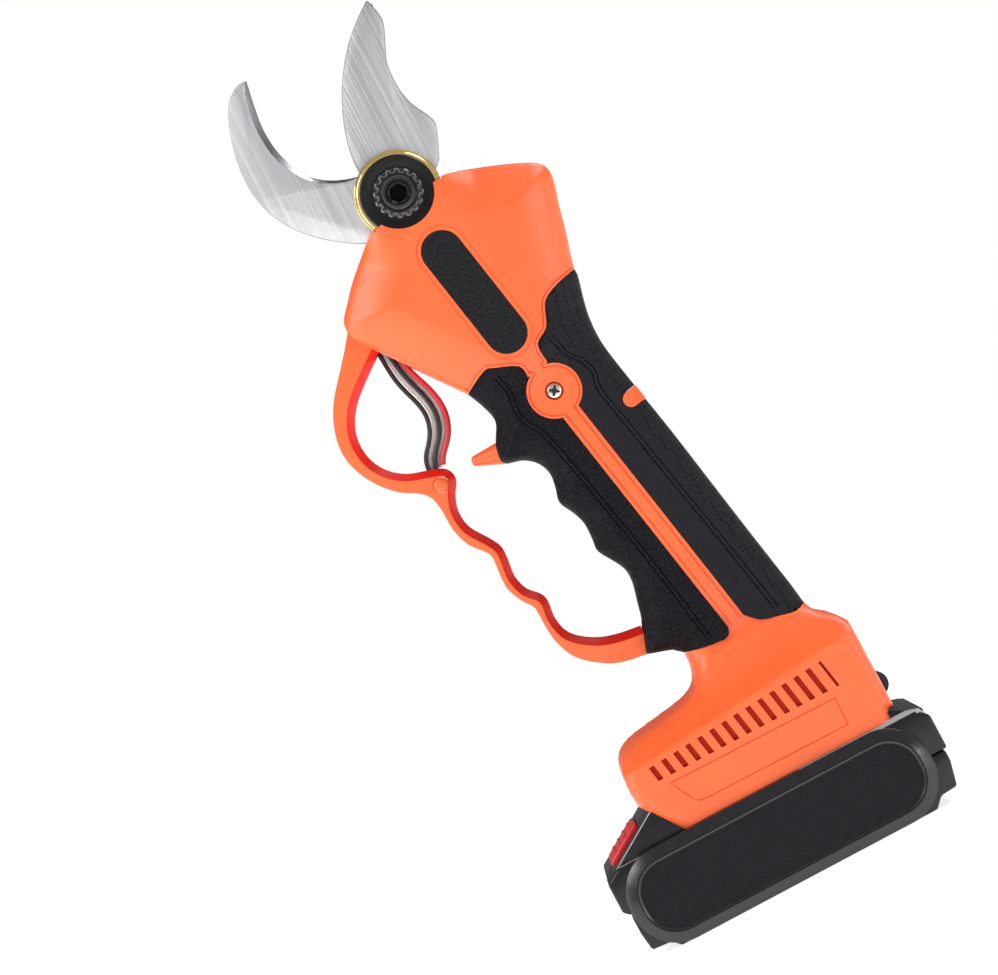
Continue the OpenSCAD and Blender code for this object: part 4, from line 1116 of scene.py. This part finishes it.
def build_battery():
    black = material("battery_black")
    lower = bevelled(outline_solid(LOWER, -CASE_Y, CASE_Y), size("case_round"), 2, 30)
    lower = combine(to_mesh(lower), block((5.5, -CASE_Y + 2, 4.2), (111.5, CASE_Y - 2, 20)))
    piece("battery_tray", lower, [black], "battery", ["battery_lower_case"], IN_BATTERY)
    upper = to_mesh(bevelled(outline_solid(UPPER, -CASE_Y, CASE_Y), 0.9, 3, 30))
    deck = bevelled(outline_solid(DECK, -30.3, 30.3), 1.0, 3, 25)
    shoulder = bevelled(outline_solid(SHOULDER, -34.6, 34.6), 3.2, 1, 25,
                        lambda e: all(v.co.z > 30 and abs(v.co.y) > 34 for v in e.verts))
    upper = combine(upper, shoulder, "UNION")
    upper = combine(upper, deck, "UNION")
    # Plate whose sides carry the painted sheen behind the housing
    upper = combine(upper, block((72, -30.5, 31.5), (103.6, 30.5, 35.4)), "UNION")
    upper = combine(upper, bevelled(block((27.5, -21.6, 34), (69.5, 21.6, 43.4)), 0.6, 2), "UNION")
    upper = combine(upper, bevelled(block((27.5, -24.6, 39.1), (69.5, 24.6, 43.4)), 0.5, 2), "UNION")
    upper = combine(upper, block((3, -CASE_Y + 2, 10), (114, CASE_Y - 2, 23.6)))
    upper = combine(upper, block((25, -CASE_Y + 2, 23), (114, CASE_Y - 2, 29.2)))
    upper = combine(upper, block((30, -20, 29), (100, 20, 33.6)))
    for y in (-14, -5, 5, 14):
        upper = combine(upper, block((57, y - 1.3, 37), (70, y + 1.3, 44)))
    slope = IN_BATTERY.inverted() @ IN_SLOPE
    upper = combine(upper, moved(block((4.8, -15.2, -3.8), (20.2, 15.2, 6)), slope))
    # Shallow ribs on the rear shoulder
    for i in range(5):
        upper = combine(upper, block((76 + 4.4 * i, -27, 35.2), (78 + 4.4 * i, 27, 37)))

    # Painted sheen on the deck's sides and shoulder behind the housing, and painted highlight along the side edges
    # of the front slope
    def painted_sheen_mask(co, normal):
        shoulder = co.x > 66 and co.z > 29.5 and 30.35 < abs(co.y) < 34.9 and normal.z > -0.1
        edge = co.x < 24 and co.z > 28.5 and 29 < abs(co.y) < 30.35 and 0.1 < abs(normal.y) < 0.97
        return 1 if shoulder or edge else 0

    piece("battery_lid", upper, [black, material("deck_sheen")], "battery",
          ["battery_upper_case"], IN_BATTERY, 32, painted_sheen_mask)
    for side, name in ((-1, "left"), (1, "right")):
        loop = stadium_flat(17.5, 96.2, 15, 17.2)
        bm = outline_solid(loop, -CASE_Y, -CASE_Y - COVER_LIFT)
        top = min((f for f in bm.faces if len(f.verts) == len(loop)), key=lambda f: f.calc_center_median().y)
        for thickness, depth in ((size("cover_rim"), 1.5), (0.45, 0.0), (0.7, -0.35)):
            bmesh.ops.inset_region(bm, faces=[top], thickness=thickness, use_even_offset=True)
            bmesh.ops.translate(bm, verts=top.verts, vec=(0, -depth, 0))
        soften(bm, edges_where(bm, lambda co: abs(co.y + CASE_Y + COVER_LIFT) < CLOSE), 0.4, 2)
        mesh = to_mesh(bm)
        if side > 0:
            mesh = mirrored(mesh)

        def paint(co, normal):
            return 0 if abs(normal.y) > 0.97 and abs(co.y) > CASE_Y + 1 else 1
        piece(f"battery_cover_{name}", mesh, [material("battery_cover"), material("cover_rim")], "battery",
              [f"battery_side_{name}"], IN_BATTERY, 20, paint)
    button = to_mesh(bevelled(block((5, -15, -0.6), (20, 15, 1.5)), 0.6, 3))
    for i in range(4):
        ridge = bevelled(block((8 + 3 * i, -12, 1.0), (9.2 + 3 * i, 12, 1.95)), 0.3, 2)
        button = combine(button, ridge, "UNION")
    piece("release_latch", button, [material("red_plastic")], "release", ["release_button"],
          IN_SLOPE)


def stadium_flat(x0, x1, z0, z1, r=15):
    """Outline of the battery's side cover: a rectangle with its corners rounded by r."""
    return (arc(r, 0, 90, 14, (x1, z1)) + arc(r, 90, 180, 14, (x0, z1)) + arc(r, 180, 270, 14, (x0, z0))
            + arc(r, 270, 360, 14, (x1, z0)))


def build_switch():
    bezel = to_mesh(bevelled(block((51.5, -5.1, 36.1), (56.8, 5.1, 48.3)), 0.5, 2))
    bezel = combine(bezel, block((53, -3.6, 37.4), (58, 3.6, 47)))
    piece("switch_frame", bezel, [material("black_plastic")], "tool", ["power_bezel"])
    rocker = turned([(0, -3.4), (4.1, -3.4), (4.35, -3.15), (4.35, 3.15), (4.1, 3.4), (0, 3.4)], steps=64)
    rocker = combine(to_mesh(rocker), block((-6, -4, -6), (-0.6, 4, 6)))
    rocker = combine(rocker, moved(turned([(0, -2.4), (9, -2.4), (9, 2.4), (0, 2.4)], steps=64),
                                   Matrix.Translation((12.2, 0, 0))))
    piece("switch_rocker", rocker, [material("black_plastic")], "rocker", ["power_rocker"],
          Matrix.Translation((54.9, 0, 42.2)))


def coil(radius, wire, z0, z1, turns, place, name, body, nodes):
    """A round-wire spring, spun along its axis with its ends closed."""
    bm = bmesh.new()
    circle = bmesh.ops.create_circle(bm, cap_ends=True, radius=wire, segments=8)["verts"]
    bmesh.ops.transform(bm, verts=circle, matrix=Matrix.Translation((radius, 0, z0 + wire)) @ Matrix.Rotation(
        math.radians(90), 4, "X"))
    rise = z1 - z0 - 2 * wire
    bmesh.ops.spin(bm, geom=bm.faces[:] + bm.edges[:] + bm.verts[:], cent=(0, 0, 0), axis=(0, 0, 1),
                   dvec=(0, 0, rise / (turns * 24)), angle=2 * math.pi * turns, steps=int(turns * 24))
    bmesh.ops.recalc_face_normals(bm, faces=bm.faces)
    piece(name, moved(bm, place), [material("zinc_steel")], body, nodes, sharp=60)


def build_springs():
    coil(1.85, size("spring_wire"), -21.5, -17.0, 5, TRIGGER_AXIS, "trigger_coil", "tool", ["trigger_spring"])
    coil(1.7, 0.28, -7.5, -0.6, 7, IN_SLOPE, "latch_coil", "battery", ["release_spring"])


def build_internals():
    """Gives every CAD part that is still shown the finish of its material slot."""
    slots = {n: m["slot"] for m in frame["record"]["materials"] for n in m.get("nodes", [])}
    for name, obj in frame["nodes"].items():
        if obj.hide_render:
            continue
        finish = slots.get(name) or NODE_FINISH.get(name, "black_plastic")
        obj.data.materials.clear()
        obj.data.materials.append(material(finish))


NODE_FINISH = {
    "blade_gear": "gear_steel", "pivot_bush": "bronze", "head_frame": "frame_alloy",
    "pinion_bearing": "zinc_steel", "bevel_pinion": "gear_steel", "planet_carrier": "gear_steel",
    **{f"planet_gear_{i}": "bronze" for i in (1, 2, 3)}, "sun_gear": "gear_steel", "ring_gear": "gear_steel",
    "rotor": "copper", "magnets": "magnet", "motor_can": "zinc_steel", "motor_end_cap": "black_plastic",
    "trigger_switch": "black_plastic", "control_board": "board_green", "capacitor": "capacitor_sleeve",
    "terminal_block": "black_plastic", "tool_contacts": "copper", "battery_board": "board_green",
    "battery_contacts": "copper", **{f"battery_cell_{i}": "cell_wrap" for i in range(1, 6)},
}


# ---- Stage ----
# Camera: its roll, the point it looks at, its distance and its focal length
ROLL = math.atan2(0.469, 0.883)
CAMERA_AXES = (Vector((math.cos(ROLL), 0, -math.sin(ROLL))), Vector((math.sin(ROLL), 0, math.cos(ROLL))),
               Vector((0, -1, 0)))
CENTRE = (-24.0, 157.3)
DISTANCE = 1400
SCALE_Y = -5
FOCAL_PX = 3.05 * DISTANCE
# Lamps: metres right, up and nearer than the tool's middle as the camera sees it, width and watts
LAMPS = [("key", (-1.0, 0.25, 0.5), 0.7, 8.0), ("fill", (0.95, 0.3, 0.75), 0.3, 3.0),
         ("top", (0.35, 1.15, 0.15), 0.5, 5.0), ("rim", (0.2, 1.0, -0.6), 0.5, 3.0),
         ("low", (-1.05, -0.45, 0.3), 0.6, 3.0)]
FLOOR_HALF, FLOOR_GLOW = 6, 0.78


def build_stage():
    scene = bpy.context.scene
    scene.view_settings.view_transform = "Standard"
    bm = bmesh.new()
    bmesh.ops.create_grid(bm, x_segments=2, y_segments=2, size=FLOOR_HALF)
    bmesh.ops.translate(bm, verts=bm.verts, vec=(0, 0, CAD_BOX[0][2] - 0.0002))
    floor = bpy.data.objects.new("floor", to_mesh(bm, "floor"))
    scene.collection.objects.link(floor)
    base = colour_of("floor")
    m = Nodes("floor_white", base, 0.55)
    m.tint(m.noise(3, 2), shade(base, 0.99), shade(base, 1.01))
    m.shader.inputs["Emission Color"].default_value = (1, 1, 1, 1)
    m.shader.inputs["Emission Strength"].default_value = FLOOR_GLOW
    floor.data.materials.append(m.mat)
    world = bpy.data.worlds.new("studio")
    world.use_nodes = True
    scene.world = world
    tree = world.node_tree
    background = tree.nodes["Background"]
    background.inputs["Color"].default_value = (1, 1, 1, 1)
    background.inputs["Strength"].default_value = 1.0
    light_side = tree.nodes.new("ShaderNodeBackground")
    coords = tree.nodes.new("ShaderNodeTexCoord")
    split = tree.nodes.new("ShaderNodeSeparateXYZ")
    ramp = tree.nodes.new("ShaderNodeMapRange")
    for key, number in (("From Min", -0.9), ("From Max", 0.35), ("To Min", 0.52), ("To Max", 0.2)):
        ramp.inputs[key].default_value = number
    tree.links.new(coords.outputs["Generated"], split.inputs[0])
    tree.links.new(split.outputs["Y"], ramp.inputs["Value"])
    tree.links.new(ramp.outputs["Result"], light_side.inputs["Strength"])
    mix = tree.nodes.new("ShaderNodeMixShader")
    path = tree.nodes.new("ShaderNodeLightPath")
    tree.links.new(path.outputs["Is Camera Ray"], mix.inputs[0])
    tree.links.new(light_side.outputs[0], mix.inputs[1])
    tree.links.new(background.outputs[0], mix.inputs[2])
    tree.links.new(mix.outputs[0], tree.nodes["World Output"].inputs["Surface"])
    low, high = Vector(CAD_BOX[0]), Vector(CAD_BOX[1])
    middle = (low + high) / 2
    right, up, back = CAMERA_AXES
    for name, shift, width, power in LAMPS:
        lamp = bpy.data.lights.new(name, "AREA")
        lamp.size = width
        lamp.energy = power
        lamp.shape = "DISK"
        obj = bpy.data.objects.new(name, lamp)
        obj.location = middle + right * shift[0] + up * shift[1] + back * shift[2]
        obj.rotation_euler = (obj.location - middle).to_track_quat("Z", "Y").to_euler()
        scene.collection.objects.link(obj)
    camera = bpy.data.cameras.new("camera")
    camera.sensor_width = 36
    camera.lens = FOCAL_PX * 36 / 998
    camera.clip_end = 50
    obj = bpy.data.objects.new("camera", camera)
    basis = Matrix((right, up, back)).transposed().to_4x4()
    target = Vector((CENTRE[0], SCALE_Y, CENTRE[1])) * MM
    obj.matrix_world = Matrix.Translation(target + back * DISTANCE * MM) @ basis
    scene.collection.objects.link(obj)
    scene.camera = obj


# ---- Add-on ----
class PRUNER_OT_stage(bpy.types.Operator):
    """Floor, lights and camera"""
    bl_idname = "pruner.stage"
    bl_label = "Stage"

    def execute(self, context):
        build_stage()
        return {"FINISHED"}


class PRUNER_OT_housing(bpy.types.Operator):
    """Housing halves, grips and head pads"""
    bl_idname = "pruner.housing"
    bl_label = "Housing and grips"

    def execute(self, context):
        build_housing()
        return {"FINISHED"}


class PRUNER_OT_screws(bpy.types.Operator):
    """Screws that join the housing"""
    bl_idname = "pruner.screws"
    bl_label = "Screws"

    def execute(self, context):
        build_screws()
        return {"FINISHED"}


class PRUNER_OT_guard(bpy.types.Operator):
    """Finger guard and the pin through it"""
    bl_idname = "pruner.guard"
    bl_label = "Finger guard"

    def execute(self, context):
        build_guard()
        return {"FINISHED"}


class PRUNER_OT_blades(bpy.types.Operator):
    """Cutting blade and hook"""
    bl_idname = "pruner.blades"
    bl_label = "Blades"

    def execute(self, context):
        build_blades()
        return {"FINISHED"}


class PRUNER_OT_pivot(bpy.types.Operator):
    """Ring, disc, nut and bolt of the pivot"""
    bl_idname = "pruner.pivot"
    bl_label = "Pivot"

    def execute(self, context):
        build_pivot()
        return {"FINISHED"}


class PRUNER_OT_trigger(bpy.types.Operator):
    """Trigger button"""
    bl_idname = "pruner.trigger"
    bl_label = "Trigger"

    def execute(self, context):
        build_trigger()
        return {"FINISHED"}


class PRUNER_OT_wires(bpy.types.Operator):
    """Leads between the head and the guard"""
    bl_idname = "pruner.wires"
    bl_label = "Wires"

    def execute(self, context):
        build_wires()
        return {"FINISHED"}


class PRUNER_OT_battery(bpy.types.Operator):
    """Battery case, side covers and release latch"""
    bl_idname = "pruner.battery"
    bl_label = "Battery"

    def execute(self, context):
        build_battery()
        return {"FINISHED"}


class PRUNER_OT_switch(bpy.types.Operator):
    """Rocker and its frame"""
    bl_idname = "pruner.switch"
    bl_label = "Power switch"

    def execute(self, context):
        build_switch()
        return {"FINISHED"}


class PRUNER_OT_springs(bpy.types.Operator):
    """Springs of the trigger and the latch"""
    bl_idname = "pruner.springs"
    bl_label = "Springs"

    def execute(self, context):
        build_springs()
        return {"FINISHED"}


class PRUNER_OT_internals(bpy.types.Operator):
    """Finishes of the parts inside"""
    bl_idname = "pruner.internals"
    bl_label = "Drive and boards"

    def execute(self, context):
        build_internals()
        return {"FINISHED"}


OPERATORS = [PRUNER_OT_stage, PRUNER_OT_housing, PRUNER_OT_screws, PRUNER_OT_guard,
             PRUNER_OT_blades, PRUNER_OT_pivot, PRUNER_OT_trigger, PRUNER_OT_wires,
             PRUNER_OT_battery, PRUNER_OT_switch, PRUNER_OT_springs, PRUNER_OT_internals]


class PRUNER_PT_panel(bpy.types.Panel):
    """Sizes, colours and pieces of the pruner"""
    bl_label = "Battery pruner"
    bl_space_type = "VIEW_3D"
    bl_region_type = "UI"
    bl_category = "Pruner"

    def draw(self, context):
        scene = context.scene
        for label, group in (("Sizes", scene.pruner_sizes), ("Colours", scene.pruner_colours)):
            box = self.layout.box()
            box.label(text=label)
            for name in group.__annotations__:
                box.prop(group, name)
        for step in OPERATORS:
            self.layout.operator(step.bl_idname)


CLASSES = [PrunerSizes, PrunerColours, *OPERATORS, PRUNER_PT_panel]


def register():
    for c in CLASSES:
        bpy.utils.register_class(c)
    bpy.types.Scene.pruner_sizes = bpy.props.PointerProperty(type=PrunerSizes)
    bpy.types.Scene.pruner_colours = bpy.props.PointerProperty(type=PrunerColours)


def unregister():
    del bpy.types.Scene.pruner_colours
    del bpy.types.Scene.pruner_sizes
    for c in reversed(CLASSES):
        bpy.utils.unregister_class(c)


def main():
    register()
    for step in OPERATORS:
        getattr(bpy.ops.pruner, step.bl_idname.split(".")[1])()


if __name__ == "__main__":
    main()
